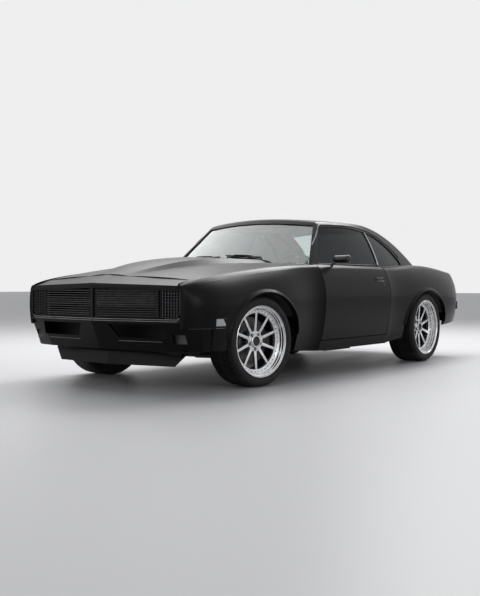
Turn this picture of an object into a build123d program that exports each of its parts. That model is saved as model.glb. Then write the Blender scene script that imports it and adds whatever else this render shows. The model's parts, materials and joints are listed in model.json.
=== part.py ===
from build123d import *
import os
from math import asin, cos, degrees, radians, sin

# Muscle car, two-door coupe. Millimetres. The origin is on the ground under the middle of the car:
# +X is the car's left side, the nose points to -Y and +Z is up.

# --- driving dimensions: the whole car ---
WHEELBASE = 2746
FRONT_AXLE_Y = -1435
REAR_AXLE_Y = FRONT_AXLE_Y + WHEELBASE
BODY_HALF_WIDTH = 908  # over the bulges above the wheels
ROOF_HEIGHT = 1338
PANEL_GAP = 6.5        # shut line round doors, hood and deck lid
SEAM = 0.3             # hairline between fixed panels, and under a lid's rubber stop
SKIN = 22              # a fender or quarter wall with its flange
DOOR_THICKNESS = 156   # from the widest point to the inner trim
GLASS = 5

# --- wheels and tyres ---
TYRE_RADIUS = 330
RIM_RADIUS = 262       # over the rim lip
BEAD_RADIUS = 250
TYRE_INSET = 151       # from the widest point to a tyre's middle plane
WHEEL_X = BODY_HALF_WIDTH - TYRE_INSET
FRONT_TYRE_WIDTH = 250
REAR_TYRE_WIDTH = 270
STEER_AT_REST = 8.35   # both front wheels stand turned to the car's right
KINGPIN_INSET = 102    # from a front tyre's middle plane to its kingpin
KINGPIN_X = WHEEL_X - KINGPIN_INSET
HUB_RADIUS = 72
STUB_RADIUS = 32
BORE_RADIUS = STUB_RADIUS + 0.5
DISC_RADIUS = 178
DISC_THICKNESS = 28
DISC_BACK = -35        # along the axle from a tyre's middle plane
HUB_FACE = 66
SPOKES = 10
SPOKE_BACK = 42
SPOKE_DEPTH = 26
SPOKE_WIDTH = 20

# --- wheel openings: three-centred arches ---
ARCH_HALF_SPAN = 455
ARCH_RISE = 350
ARCH_SPRING_Z = 340
ARCH_HAUNCH_RADIUS = 280

# --- places along the car ---
FENDER_FRONT_Y = FRONT_AXLE_Y - 787
DOOR_FRONT_Y = FRONT_AXLE_Y + 831
DOOR_REAR_Y = REAR_AXLE_Y - 773
DECK_FRONT_Y = REAR_AXLE_Y + 251
DECK_REAR_Y = REAR_AXLE_Y + 811
QUARTER_END_Y = REAR_AXLE_Y + 839
TAIL_Y = QUARTER_END_Y + 93

# --- places across and up ---
FENDER_TOP_WIDTH = 199.5
FENDER_TOP_X = BODY_HALF_WIDTH - FENDER_TOP_WIDTH
HOOD_HALF_WIDTH = FENDER_TOP_X - PANEL_GAP
QUARTER_TOP_WIDTH = 246.5
QUARTER_TOP_X = BODY_HALF_WIDTH - QUARTER_TOP_WIDTH
DECK_HALF_WIDTH = QUARTER_TOP_X - PANEL_GAP
DOOR_INNER_X = BODY_HALF_WIDTH - DOOR_THICKNESS
SILL_Z = 296           # lower edge of the doors
ROCKER_Z = 210
FLOOR_Z = 225

os.makedirs("parts", exist_ok=True)


def across(y):
    """Upright plane across the car at y: its X is the car's X and its Y is up."""
    return Plane(origin=(0, y, 0), x_dir=(1, 0, 0), z_dir=(0, -1, 0))


def along(x):
    """Upright plane along the car at x: its X is the car's Y and its Y is up."""
    return Plane(origin=(x, 0, 0), x_dir=(0, 1, 0), z_dir=(1, 0, 0))


def keep(part, label):
    """Labels a finished sub-part and writes its STEP file."""
    part.label = label
    export_step(part, f"parts/{label}.step")


# --- body side: one table of cross-sections for fender, door, rocker and quarter ---
# y: (low z, low inset, widest z, widest inset, shoulder z, shoulder inset), insets from BODY_HALF_WIDTH
SIDE = {
    FENDER_FRONT_Y: (440, 160, 600, 138, 712, 150),
    FRONT_AXLE_Y - 625: (305, 63, 595, 38, 752, 105),
    FRONT_AXLE_Y - 300: (300, 42, 600, 8, 797, 93),
    FRONT_AXLE_Y: (300, 38, 612, 0, 829, 86),
    FRONT_AXLE_Y + 335: (250, 56, 620, 6, 856, 82),
    DOOR_FRONT_Y: (ROCKER_Z - 4, 88, 640, 12, 874, 74),
    (DOOR_FRONT_Y + DOOR_REAR_Y) / 2: (ROCKER_Z - 4, 88, 640, 16, 874, 76),
    DOOR_REAR_Y: (ROCKER_Z - 4, 88, 640, 12, 872, 78),
    REAR_AXLE_Y - 411: (250, 58, 640, 10, 878, 93),
    REAR_AXLE_Y: (290, 40, 640, 0, 897, 108),
    REAR_AXLE_Y + 389: (330, 46, 625, 8, 882, 112),
    REAR_AXLE_Y + 689: (350, 70, 610, 36, 852, 118),
    QUARTER_END_Y: (360, 108, 600, 72, 838, 136),
}
FENDER_STATIONS = [y for y in SIDE if y <= DOOR_FRONT_Y]
DOOR_STATIONS = [y for y in SIDE if DOOR_FRONT_Y <= y <= DOOR_REAR_Y]
QUARTER_STATIONS = [y for y in SIDE if y >= DOOR_REAR_Y]
CROWN_WIDTH = 45
CROWN_RISE = 29
TOP_RISE = 8


def side_section(y, inner_x, thickness, inner_top_x):
    """Closed section of a body side panel: two arcs and a rounded crown outside, flats inside."""
    low_z, low_inset, wide_z, wide_inset, shoulder_z, shoulder_inset = SIDE[y]
    low_x = BODY_HALF_WIDTH - low_inset
    wide_x = BODY_HALF_WIDTH - wide_inset
    shoulder_x = BODY_HALF_WIDTH - shoulder_inset
    crown = (shoulder_x - CROWN_WIDTH, shoulder_z + CROWN_RISE)
    top = (inner_top_x, shoulder_z + CROWN_RISE + TOP_RISE)
    with BuildSketch(across(y)) as section:
        with BuildLine():
            lower = TangentArc((wide_x, wide_z), (low_x, low_z), tangent=(0, -1))
            upper = TangentArc((wide_x, wide_z), (shoulder_x, shoulder_z), tangent=(0, 1))
            TangentArc(upper @ 1, crown, tangent=upper % 1)
            Line(crown, top)
            if inner_x is None:
                Polyline(
                    top,
                    (inner_top_x, top[1] - thickness),
                    (crown[0] - 6, crown[1] - thickness),
                    (shoulder_x - thickness - 6, shoulder_z - 8),
                    (wide_x - thickness, wide_z),
                    (low_x - thickness, low_z),
                    lower @ 1,
                )
            else:
                Polyline(top, (inner_x, low_z), lower @ 1)
        make_face()
    return section.sketch


def arch_profile(axle_y, grow):
    """Outline of a wheel opening, grown outwards by `grow`, on the plane along the car."""
    span = ARCH_HALF_SPAN + grow
    rise = ARCH_RISE + grow
    haunch = ARCH_HAUNCH_RADIUS + grow
    offset = span - haunch
    drop = (offset ** 2 - (rise - haunch) ** 2) / (2 * (rise - haunch))
    crown_radius = drop + rise
    reach = crown_radius - haunch
    join_y = offset * crown_radius / reach
    join_z = drop * crown_radius / reach - drop
    mid_angle = radians(45) * 0.5
    mid_y = offset + haunch * cos(mid_angle)
    mid_z = haunch * sin(mid_angle)
    with BuildLine() as outline:
        ThreePointArc(
            (axle_y - join_y, ARCH_SPRING_Z + join_z),
            (axle_y, ARCH_SPRING_Z + rise),
            (axle_y + join_y, ARCH_SPRING_Z + join_z),
        )
        for side in (-1, 1):
            ThreePointArc(
                (axle_y + side * span, ARCH_SPRING_Z),
                (axle_y + side * mid_y, ARCH_SPRING_Z + mid_z),
                (axle_y + side * join_y, ARCH_SPRING_Z + join_z),
            )
        Polyline(
            (axle_y - span, ARCH_SPRING_Z),
            (axle_y - span, 0),
            (axle_y + span, 0),
            (axle_y + span, ARCH_SPRING_Z),
        )
    return outline.line


# --- front fenders: pressed steel from nose to door ---
FENDER_LOW_FRONT_Z = 448
FENDER_LOW_FRONT_END_Y = FRONT_AXLE_Y - 601


def side_trim():
    """Cuts the open side panel level at the rocker's underside, and gives it its door gaps above the sill."""
    with Locations((BODY_HALF_WIDTH, 0, ROCKER_Z - 50)):
        Box(600, 6000, 100, mode=Mode.SUBTRACT)
    for y in (DOOR_FRONT_Y, DOOR_REAR_Y):
        with Locations((BODY_HALF_WIDTH, y, SILL_Z - PANEL_GAP + 500)):
            Box(600, PANEL_GAP, 1000, mode=Mode.SUBTRACT)


with BuildPart() as fender:
    for y in FENDER_STATIONS:
        add(side_section(y, None, SKIN, FENDER_TOP_X))
    loft()
    with BuildSketch(along(KINGPIN_X)):
        with BuildLine():
            add(arch_profile(FRONT_AXLE_Y, 0))
        make_face()
    extrude(amount=400, mode=Mode.SUBTRACT)
    with Locations((BODY_HALF_WIDTH, FENDER_LOW_FRONT_END_Y - 300, FENDER_LOW_FRONT_Z - 100)):
        Box(600, 600, 200, mode=Mode.SUBTRACT)
    side_trim()
with BuildPart() as fenders:
    add(fender.part)
    mirror(fender.part, about=Plane.YZ)

# --- doors: outer skin and trim as one closed leaf, cut back at the rear so that it swings clear ---
DOOR_BACK_CUT = 18
DOOR_EDGE = 23
with BuildPart() as door_left:
    for y in DOOR_STATIONS:
        add(side_section(y, DOOR_INNER_X, 0, DOOR_INNER_X))
    loft()
    with Locations((BODY_HALF_WIDTH, 0, SILL_Z - 150)):
        Box(600, 6000, 300, mode=Mode.SUBTRACT)
    side_trim()
    with BuildSketch():
        with BuildLine():
            Polyline(
                (DOOR_INNER_X - 10, DOOR_REAR_Y),
                (DOOR_INNER_X - 10, DOOR_REAR_Y - PANEL_GAP / 2 - DOOR_BACK_CUT),
                (BODY_HALF_WIDTH - DOOR_EDGE, DOOR_REAR_Y - PANEL_GAP / 2),
                (BODY_HALF_WIDTH - DOOR_EDGE, DOOR_REAR_Y),
                close=True,
            )
        make_face()
    extrude(amount=1200, mode=Mode.SUBTRACT)
with BuildPart() as door_right:
    mirror(door_left.part, about=Plane.YZ)
keep(door_left.part, "door_left")
keep(door_right.part, "door_right")

# --- rockers: the sills under the doors ---
ROCKER_INNER_X = DOOR_INNER_X - 7
with BuildPart() as rocker:
    for y in DOOR_STATIONS:
        add(side_section(y, ROCKER_INNER_X, 0, ROCKER_INNER_X))
    loft()
    with Locations((BODY_HALF_WIDTH, 0, SILL_Z - PANEL_GAP + 500)):
        Box(600, 6000, 1000, mode=Mode.SUBTRACT)
    side_trim()
with BuildPart() as rockers:
    add(rocker.part)
    mirror(rocker.part, about=Plane.YZ)
keep(rockers.part, "rockers")

# --- quarter panels: haunches from the doors to the tail ---
with BuildPart() as quarter:
    for y in QUARTER_STATIONS:
        add(side_section(y, None, SKIN, QUARTER_TOP_X))
    loft()
    with BuildSketch(along(KINGPIN_X)):
        with BuildLine():
            add(arch_profile(REAR_AXLE_Y, 0))
        make_face()
    extrude(amount=400, mode=Mode.SUBTRACT)
    side_trim()
with BuildPart() as quarters:
    add(quarter.part)
    mirror(quarter.part, about=Plane.YZ)
keep(quarters.part, "quarters")

# --- hood: crowned panel with a raised centre that widens towards the windshield ---
# y: (edge z, foot x, foot z, shoulder x, shoulder z, ridge z)
HOOD = {
    FENDER_FRONT_Y + 32: (754, 190, 797, 140, 803, 813),
    FRONT_AXLE_Y - 495: (806, 240, 842, 190, 862, 877),
    FRONT_AXLE_Y - 65: (858, 320, 893, 262, 932, 950),
    FRONT_AXLE_Y + 385: (890, 390, 915, 332, 948, 964),
    DOOR_FRONT_Y - 26: (903, 440, 925, 382, 953, 968),
}
HOOD_THICKNESS = 24
HOOD_REAR_CORNER_Y = DOOR_FRONT_Y - 41
HOOD_REAR_CENTRE_Y = DOOR_FRONT_Y - 211
HOOD_FRONT_CORNER_Y = FENDER_FRONT_Y + 137
HOOD_FRONT_CENTRE_Y = FENDER_FRONT_Y + 56
with BuildPart() as hood:
    for y, (edge_z, foot_x, foot_z, shoulder_x, shoulder_z, ridge_z) in HOOD.items():
        with BuildSketch(across(y)):
            with BuildLine():
                edge = (HOOD_HALF_WIDTH, edge_z)
                crown = ((HOOD_HALF_WIDTH + foot_x) / 2, (edge_z + foot_z) / 2 + 7)
                ThreePointArc(edge, crown, (foot_x, foot_z))
                Line((foot_x, foot_z), (shoulder_x, shoulder_z))
                middle = (shoulder_x / 2, (shoulder_z + ridge_z) / 2 + 3)
                ThreePointArc((shoulder_x, shoulder_z), middle, (0, ridge_z))
                Polyline(
                    (0, ridge_z),
                    (0, ridge_z - HOOD_THICKNESS),
                    (shoulder_x - 8, shoulder_z - HOOD_THICKNESS),
                    (foot_x - 8, foot_z - HOOD_THICKNESS),
                    (HOOD_HALF_WIDTH, edge_z - HOOD_THICKNESS),
                    edge,
                )
            make_face()
    loft()
    mirror(about=Plane.YZ)
    with BuildSketch():
        with BuildLine():
            ThreePointArc(
                (-HOOD_HALF_WIDTH, HOOD_REAR_CORNER_Y),
                (0, HOOD_REAR_CENTRE_Y),
                (HOOD_HALF_WIDTH, HOOD_REAR_CORNER_Y),
            )
            Polyline(
                (HOOD_HALF_WIDTH, HOOD_REAR_CORNER_Y),
                (HOOD_HALF_WIDTH, HOOD_FRONT_CORNER_Y),
                (0, HOOD_FRONT_CENTRE_Y),
                (-HOOD_HALF_WIDTH, HOOD_FRONT_CORNER_Y),
                (-HOOD_HALF_WIDTH, HOOD_REAR_CORNER_Y),
            )
        make_face()
    extrude(amount=1200, mode=Mode.INTERSECT)
keep(hood.part, "hood")

# --- header panel: between grille and hood, with the nose's centre crease ---
HEADER_HALF_WIDTH = FENDER_TOP_X - SEAM
GRILLE_SWEEP = 7.5
GRILLE_TOP_Z = 737
GRILLE_CORNER_Z = 716
GRILLE_BOTTOM_Z = 484
GRILLE_CENTRE_Y = FENDER_FRONT_Y - 97
GRILLE_REACH = BODY_HALF_WIDTH - 156
header_end_z = GRILLE_TOP_Z - (GRILLE_TOP_Z - GRILLE_CORNER_Z) * HEADER_HALF_WIDTH / GRILLE_REACH
with BuildPart() as header_panel:
    for x, face_y, face_z, back_y, back_z in (
        (0, GRILLE_CENTRE_Y - 3, GRILLE_TOP_Z + SEAM, HOOD_FRONT_CENTRE_Y - PANEL_GAP, 815),
        (HEADER_HALF_WIDTH, FENDER_FRONT_Y - 5, header_end_z + SEAM, HOOD_FRONT_CORNER_Y - PANEL_GAP, 775),
    ):
        with BuildSketch(along(x)):
            with BuildLine():
                Polyline(
                    (face_y, face_z),
                    (face_y + 4, face_z + 20),
                    (back_y, back_z),
                    (back_y, back_z - 24),
                    (face_y + 40, face_z),
                    close=True,
                )
            make_face()
    loft(ruled=True)
    mirror(about=Plane.YZ)

# --- grille: surround, centre divider, posts and thin bars, swept back each side of the centre ---
GRILLE_DEPTH = 46
GRILLE_FRAME = 15
COVER_WIDTH = 164
COVER_START = GRILLE_REACH - COVER_WIDTH
BAR_PITCH = 19
BARS = 11
sweep_sin = sin(radians(GRILLE_SWEEP))
sweep_cos = cos(radians(GRILLE_SWEEP))


def grille_face(depth):
    """Plane of the grille's left half, `depth` behind its front."""
    return Plane(
        origin=(-depth * sweep_sin, GRILLE_CENTRE_Y + depth * sweep_cos, 0),
        x_dir=(sweep_cos, sweep_sin, 0),
        z_dir=(sweep_sin, -sweep_cos, 0),
    )


GRILLE_MID_Z = (GRILLE_TOP_Z + GRILLE_BOTTOM_Z) / 2
GRILLE_HEIGHT = GRILLE_TOP_Z - GRILLE_BOTTOM_Z
with BuildPart() as grille:
    with BuildSketch(grille_face(0)):
        for rim in (0, GRILLE_FRAME):
            with BuildLine():
                Polyline(
                    (0, GRILLE_BOTTOM_Z + 1.3 * rim), (GRILLE_REACH - 22, GRILLE_BOTTOM_Z + 1.3 * rim),
                    (GRILLE_REACH - rim, GRILLE_BOTTOM_Z + 22 + 1.3 * rim),
                    (GRILLE_REACH - rim, GRILLE_CORNER_Z - rim),
                    (0, GRILLE_TOP_Z - rim), close=True,
                )
            make_face(mode=Mode.SUBTRACT if rim else Mode.ADD)
        with Locations((GRILLE_FRAME / 4, GRILLE_MID_Z)):
            Rectangle(GRILLE_FRAME / 2, GRILLE_HEIGHT)
    extrude(amount=-GRILLE_DEPTH)
    with BuildSketch(grille_face(10)):
        for bar in range(BARS):
            with Locations((COVER_START / 2, GRILLE_MID_Z + 2 + (bar - (BARS - 1) / 2) * BAR_PITCH)):
                Rectangle(COVER_START - 8, 5)
        with Locations((COVER_START - 42, GRILLE_MID_Z), (COVER_START - 10, GRILLE_MID_Z)):
            Rectangle(9, GRILLE_HEIGHT - 20)
    extrude(amount=-24)
    with Locations((-200, GRILLE_CENTRE_Y, GRILLE_MID_Z)):
        Box(400, 400, 400, mode=Mode.SUBTRACT)
    add(fender.part, mode=Mode.SUBTRACT)
    mirror(about=Plane.YZ)
with BuildPart() as cut_header:
    add(header_panel.part)
    add(grille.part, mode=Mode.SUBTRACT)
    add(fenders.part, mode=Mode.SUBTRACT)
keep(cut_header.part, "header_panel")
keep(grille.part, "grille")

with BuildPart() as cover:
    with BuildSketch(grille_face(-2)):
        with Locations(((COVER_START + GRILLE_REACH - 15) / 2, GRILLE_MID_Z + 2)):
            Rectangle(GRILLE_REACH - GRILLE_FRAME - COVER_START - 1, GRILLE_HEIGHT - 62)
    extrude(amount=-30)
    add(grille.part, mode=Mode.SUBTRACT)
    add(fender.part, mode=Mode.SUBTRACT)
with BuildPart() as headlamp_covers:
    add(cover.part)
    mirror(cover.part, about=Plane.YZ)
keep(headlamp_covers.part, "headlamp_covers")

# --- front valance: below the grille, wrapped round to the wheel openings ---
VALANCE_WALL = 24
VALANCE_TOP_Z = GRILLE_BOTTOM_Z - SEAM
VALANCE_BOTTOM_Z = 288
INTAKE_TOP_Z = 470
INTAKE_BOTTOM_Z = 376
LAMP_X = BODY_HALF_WIDTH - 216
LAMP_Z = 373
LAMP_WIDTH = 98
LAMP_HEIGHT = 64
# z: plan points of the outer face, from the centre to the wheel opening:
# inset from BODY_HALF_WIDTH, and distance in front of the fender's end
VALANCE = {
    VALANCE_BOTTOM_Z: ((BODY_HALF_WIDTH, 18), (348, -34), (178, -82), (96, -142), (60, -202), (56, -282)),
    VALANCE_TOP_Z: ((BODY_HALF_WIDTH, 100), (308, 21), (156, -10), (80, -92), (50, -172), (42, -282)),
}
with BuildPart() as front_valance:
    for z, rows in VALANCE.items():
        points = [(BODY_HALF_WIDTH - inset, FENDER_FRONT_Y - ahead) for inset, ahead in rows]
        inner = [(x * 0.97, y + VALANCE_WALL) for x, y in reversed(points)]
        inner[0] = (points[-1][0] - VALANCE_WALL, points[-1][1])
        inner[-1] = (0, points[0][1] + VALANCE_WALL)
        with BuildSketch(Plane.XY.offset(z)):
            with BuildLine():
                Polyline(*points, *inner, close=True)
            make_face()
    loft(ruled=True)
    with BuildSketch(across(FENDER_FRONT_Y + 222)):
        with BuildLine():
            Polyline(
                (133, INTAKE_TOP_Z), (LAMP_X - 103, INTAKE_TOP_Z),
                (LAMP_X - 84, INTAKE_BOTTOM_Z), (200, INTAKE_BOTTOM_Z), close=True,
            )
        make_face()
        with Locations((LAMP_X, LAMP_Z)):
            Rectangle(LAMP_WIDTH, LAMP_HEIGHT)
    extrude(amount=400, mode=Mode.SUBTRACT)
    with Locations((GRILLE_REACH + 4 + 150, FENDER_FRONT_Y + 172, FENDER_LOW_FRONT_Z - SEAM + 50)):
        Box(300, 400, 100, mode=Mode.SUBTRACT)
    add(fender.part, mode=Mode.SUBTRACT)
    with Locations((BODY_HALF_WIDTH - 58, FENDER_LOW_FRONT_END_Y - SEAM + 100, 400)):
        Box(300, 200, 400, mode=Mode.SUBTRACT)
    mirror(about=Plane.YZ)
keep(front_valance.part, "front_valance")

with BuildPart() as lamp:
    with BuildSketch(across(FENDER_FRONT_Y + 94)):
        with Locations((LAMP_X, LAMP_Z)):
            Rectangle(LAMP_WIDTH - 2 * SEAM, LAMP_HEIGHT - 2 * SEAM)
    extrude(amount=34)
with BuildPart() as parking_lamps:
    add(lamp.part)
    mirror(lamp.part, about=Plane.YZ)
keep(parking_lamps.part, "parking_lamps")

# --- splitter: an upright blade in two faces, on a shelf with struts down from the frame rails ---
SPLITTER_BOTTOM_Z = 174
SPLITTER_TOP_Z = 266
SPLITTER_SHELF_END_Y = FENDER_FRONT_Y + 192
BLADE = 8
RAIL_INNER_X = 330
RAIL_OUTER_X = 400
RAIL_Z = (250, 350)
RAIL_FRONT_Y = FENDER_FRONT_Y + 162
RAIL_X = (RAIL_INNER_X + RAIL_OUTER_X) / 2
# z: (centre y, corner inset, corner y)
SPLITTER = {
    SPLITTER_BOTTOM_Z: (FENDER_FRONT_Y + 54, 344, FENDER_FRONT_Y + 134),
    SPLITTER_TOP_Z: (FENDER_FRONT_Y + 66, 257, FENDER_FRONT_Y + 172),
}
with BuildPart() as front_splitter:
    for z, (centre_y, corner_inset, corner_y) in SPLITTER.items():
        corner_x = BODY_HALF_WIDTH - corner_inset
        with BuildSketch(Plane.XY.offset(z)):
            with BuildLine():
                Polyline(
                    (0, centre_y), (corner_x, corner_y), (corner_x, corner_y + BLADE),
                    (0, centre_y + BLADE), close=True,
                )
            make_face()
    loft(ruled=True)
    centre_y, corner_inset, corner_y = SPLITTER[SPLITTER_BOTTOM_Z]
    shelf_x = BODY_HALF_WIDTH - corner_inset - 1
    shelf_end_x = shelf_x - 110
    with BuildSketch(Plane.XY.offset(SPLITTER_BOTTOM_Z)):
        with BuildLine():
            Polyline(
                (0, centre_y + 6), (shelf_x, corner_y + 6), (shelf_end_x, SPLITTER_SHELF_END_Y),
                (0, SPLITTER_SHELF_END_Y), close=True,
            )
        make_face()
    extrude(amount=BLADE)
    with Locations((RAIL_X, (RAIL_FRONT_Y + SPLITTER_SHELF_END_Y) / 2, (SPLITTER_BOTTOM_Z + RAIL_Z[0]) / 2)):
        Box(30, SPLITTER_SHELF_END_Y - RAIL_FRONT_Y, RAIL_Z[0] - SPLITTER_BOTTOM_Z)
    mirror(about=Plane.YZ)
keep(front_splitter.part, "front_splitter")

# --- greenhouse: plan outlines at four heights under a crowned roof ---
# z: (front centre y, front corner y, front corner inset, side inset, rear corner y, rear corner inset,
# rear centre y), the front measured from the door's front edge and the rear from the rear axle
GREENHOUSE_LOW_Z = 880
GREENHOUSE_RAIL_Z = ROOF_HEIGHT - 88
GREENHOUSE = {
    GREENHOUSE_LOW_Z: (-131, 19, 153, 130, 184, 218, 219),
    (GREENHOUSE_LOW_Z + GREENHOUSE_RAIL_Z) / 2 + 25: (96, 218, 255, 214, 14, 308, 57),
    GREENHOUSE_RAIL_Z: (269, 369, 333, 304, -246, 378, -186),
    ROOF_HEIGHT + 32: (399, 482, 391, 373, -541, 453, -476),
}
ROOF_LENGTH_RADIUS = 10200   # over the seats
ROOF_REAR_RADIUS = 1700      # where the roof runs down into the rear window
ROOF_SIDE_DROP = 50          # the roof's crown from its middle to the rails
ROOF_EDGE_RADIUS = 55
ROOF_PEAK_Y = DOOR_REAR_Y - 173
ROOF_BEND_Y = DOOR_REAR_Y - 38
ROOF_THICKNESS = 40
PILLAR_WALL = 55
GLASS_INSET = 10
GREENHOUSE_BASE_Z = 898
roof_half_width = BODY_HALF_WIDTH - GREENHOUSE[GREENHOUSE_RAIL_Z][3]
roof_cross_radius = (roof_half_width ** 2 + ROOF_SIDE_DROP ** 2) / (2 * ROOF_SIDE_DROP)
roof_turn = degrees(asin((ROOF_BEND_Y - ROOF_PEAK_Y) / ROOF_LENGTH_RADIUS))
# radius, and the turns from upright at which each length of the crown ends and starts
ROOF_ARCS = ((ROOF_LENGTH_RADIUS, roof_turn, -12), (ROOF_REAR_RADIUS, roof_turn + 58, roof_turn))
CROWN_DEPTH = 700


def roof_crown(drop):
    """All that lies under the roof's crown, lowered by `drop`."""
    half = BODY_HALF_WIDTH
    sag = roof_cross_radius - (roof_cross_radius ** 2 - half ** 2) ** 0.5
    turn = radians(roof_turn)
    bend_z = ROOF_HEIGHT - ROOF_LENGTH_RADIUS * (1 - cos(turn))
    with BuildPart() as crown:
        for radius, rear_turn, front_turn in ROOF_ARCS:
            centre = (0, ROOF_BEND_Y - radius * sin(turn), bend_z - radius * cos(turn))
            rear = radians(rear_turn)
            with BuildSketch(Plane(origin=centre, x_dir=(1, 0, 0), z_dir=(0, -cos(rear), sin(rear)))):
                with BuildLine():
                    ThreePointArc((-half, radius - drop - sag), (0, radius - drop), (half, radius - drop - sag))
                    Polyline(
                        (half, radius - drop - sag), (half, radius - CROWN_DEPTH),
                        (-half, radius - CROWN_DEPTH), (-half, radius - drop - sag),
                    )
                make_face()
            revolve(axis=Axis(centre, (1, 0, 0)), revolution_arc=rear_turn - front_turn)
    return crown.part


def greenhouse_solid(inset, drop):
    """The whole cabin top as one solid, its sides moved in by `inset` and its crown lowered by `drop`."""
    with BuildPart() as sides:
        for z, (nose, front_y, front_inset, side_inset, rear_y, rear_inset, tail) in GREENHOUSE.items():
            nose_y = DOOR_FRONT_Y + nose + inset
            tail_y = REAR_AXLE_Y + tail - inset
            front = (BODY_HALF_WIDTH - front_inset - inset, DOOR_FRONT_Y + front_y + inset)
            rear = (BODY_HALF_WIDTH - rear_inset - inset, REAR_AXLE_Y + rear_y - inset)
            side_x = BODY_HALF_WIDTH - side_inset - inset
            middle_y = (front[1] + rear[1]) / 2 - 60
            with BuildSketch(Plane.XY.offset(z)):
                with BuildLine():
                    ThreePointArc((-front[0], front[1]), (0, nose_y), front)
                    ThreePointArc(front, (side_x, middle_y), rear)
                    ThreePointArc(rear, (0, tail_y), (-rear[0], rear[1]))
                    ThreePointArc((-rear[0], rear[1]), (-side_x, middle_y), (-front[0], front[1]))
                make_face()
        loft()
    return sides.part & roof_crown(drop)


# side window opening on the plane along the car: A-pillar, rail and C-pillar
SIDE_WINDOW = (
    (DOOR_FRONT_Y + 96, 890),
    (DOOR_FRONT_Y + 382, ROOF_HEIGHT - 106),
    (DOOR_REAR_Y - 238, ROOF_HEIGHT - 92),
    (REAR_AXLE_Y - 646, ROOF_HEIGHT - 135),
    (REAR_AXLE_Y - 366, (ROOF_HEIGHT - 135 + 960) / 2 - 7),
    (REAR_AXLE_Y - 221, 960),
    (REAR_AXLE_Y - 213, 890),
)
WINDSCREEN = ((BODY_HALF_WIDTH - 192, 898), (BODY_HALF_WIDTH - 356, ROOF_HEIGHT - 92))
WINDSCREEN_TOP_CENTRE_Z = ROOF_HEIGHT - 60
BACKLIGHT = ((BODY_HALF_WIDTH - 348, 935), (BODY_HALF_WIDTH - 494, ROOF_HEIGHT))
BACKLIGHT_TOP_CENTRE_Z = ROOF_HEIGHT + 20
STRIP_Y = DOOR_REAR_Y + 2   # where the door glass ends and the quarter glass begins
WINDSCREEN_SPAN = (DOOR_FRONT_Y - 296, ROOF_PEAK_Y)
BACKLIGHT_SPAN = (REAR_AXLE_Y - 396, QUARTER_END_Y)


def side_window(shrink):
    """Cutter through both cabin walls, smaller than the opening by `shrink` all round."""
    (low_front, a_top, rail_mid, rail_end, kink, low_rear, rear) = SIDE_WINDOW
    with BuildPart() as cutter:
        with BuildSketch(along(-900)):
            with BuildLine():
                start = Line(low_front, a_top)
                roof = ThreePointArc(a_top, rail_mid, rail_end)
                back = ThreePointArc(rail_end, kink, low_rear)
                Polyline(low_rear, rear, low_front)
            make_face()
            if shrink:
                offset(amount=-shrink, kind=Kind.INTERSECTION, mode=Mode.REPLACE)
        extrude(amount=1800)
    return cutter.part


def end_window(corners, top_centre_z, shrink, span):
    """Cutter through the front or rear cabin wall, smaller than the opening by `shrink` all round."""
    y_from, y_to = span
    (low_x, low_z), (high_x, high_z) = corners
    with BuildPart() as cutter:
        with BuildSketch(across(y_to)):
            with BuildLine():
                Polyline((-high_x, high_z), (-low_x, low_z), (low_x, low_z), (high_x, high_z))
                ThreePointArc((high_x, high_z), (0, top_centre_z), (-high_x, high_z))
            make_face()
            if shrink:
                offset(amount=-shrink, kind=Kind.INTERSECTION, mode=Mode.REPLACE)
        extrude(amount=y_to - y_from - shrink)
    return cutter.part


with BuildPart() as outer_shell:
    add(greenhouse_solid(0, 0))
    high_edges = outer_shell.edges().filter_by(lambda edge: edge.bounding_box().max.Z > GREENHOUSE_RAIL_Z)
    crown_edges = high_edges.filter_by(lambda edge: edge.bounding_box().min.Z > GREENHOUSE_LOW_Z + 50)
    fillet(crown_edges.filter_by(GeomType.CIRCLE, reverse=True), radius=ROOF_EDGE_RADIUS)
inner_shell = greenhouse_solid(PILLAR_WALL, ROOF_THICKNESS)
with BuildPart() as roof:
    add(outer_shell.part)
    add(inner_shell, mode=Mode.SUBTRACT)
    add(side_window(0), mode=Mode.SUBTRACT)
    add(end_window(WINDSCREEN, WINDSCREEN_TOP_CENTRE_Z, 0, WINDSCREEN_SPAN), mode=Mode.SUBTRACT)
    add(end_window(BACKLIGHT, BACKLIGHT_TOP_CENTRE_Z, 0, BACKLIGHT_SPAN), mode=Mode.SUBTRACT)
    with Locations((0, 0, GREENHOUSE_BASE_Z - 100)):
        Box(2000, 4000, 200, mode=Mode.SUBTRACT)
    add(quarters.part, mode=Mode.SUBTRACT)
keep(roof.part, "roof")
glass_outer = greenhouse_solid(GLASS_INSET, GLASS_INSET)
glass_inner = greenhouse_solid(GLASS_INSET + GLASS, GLASS_INSET + GLASS)
with BuildPart() as glass_layer:
    add(glass_outer)
    add(glass_inner, mode=Mode.SUBTRACT)
with BuildPart() as windshield:
    add(glass_layer.part)
    add(end_window(WINDSCREEN, WINDSCREEN_TOP_CENTRE_Z, SEAM, WINDSCREEN_SPAN), mode=Mode.INTERSECT)
keep(windshield.part, "windshield")
with BuildPart() as rear_window:
    add(glass_layer.part)
    add(end_window(BACKLIGHT, BACKLIGHT_TOP_CENTRE_Z, SEAM, BACKLIGHT_SPAN), mode=Mode.INTERSECT)
keep(rear_window.part, "rear_window")
with BuildPart() as side_glass:
    add(glass_layer.part)
    add(side_window(PANEL_GAP), mode=Mode.INTERSECT)

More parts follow.
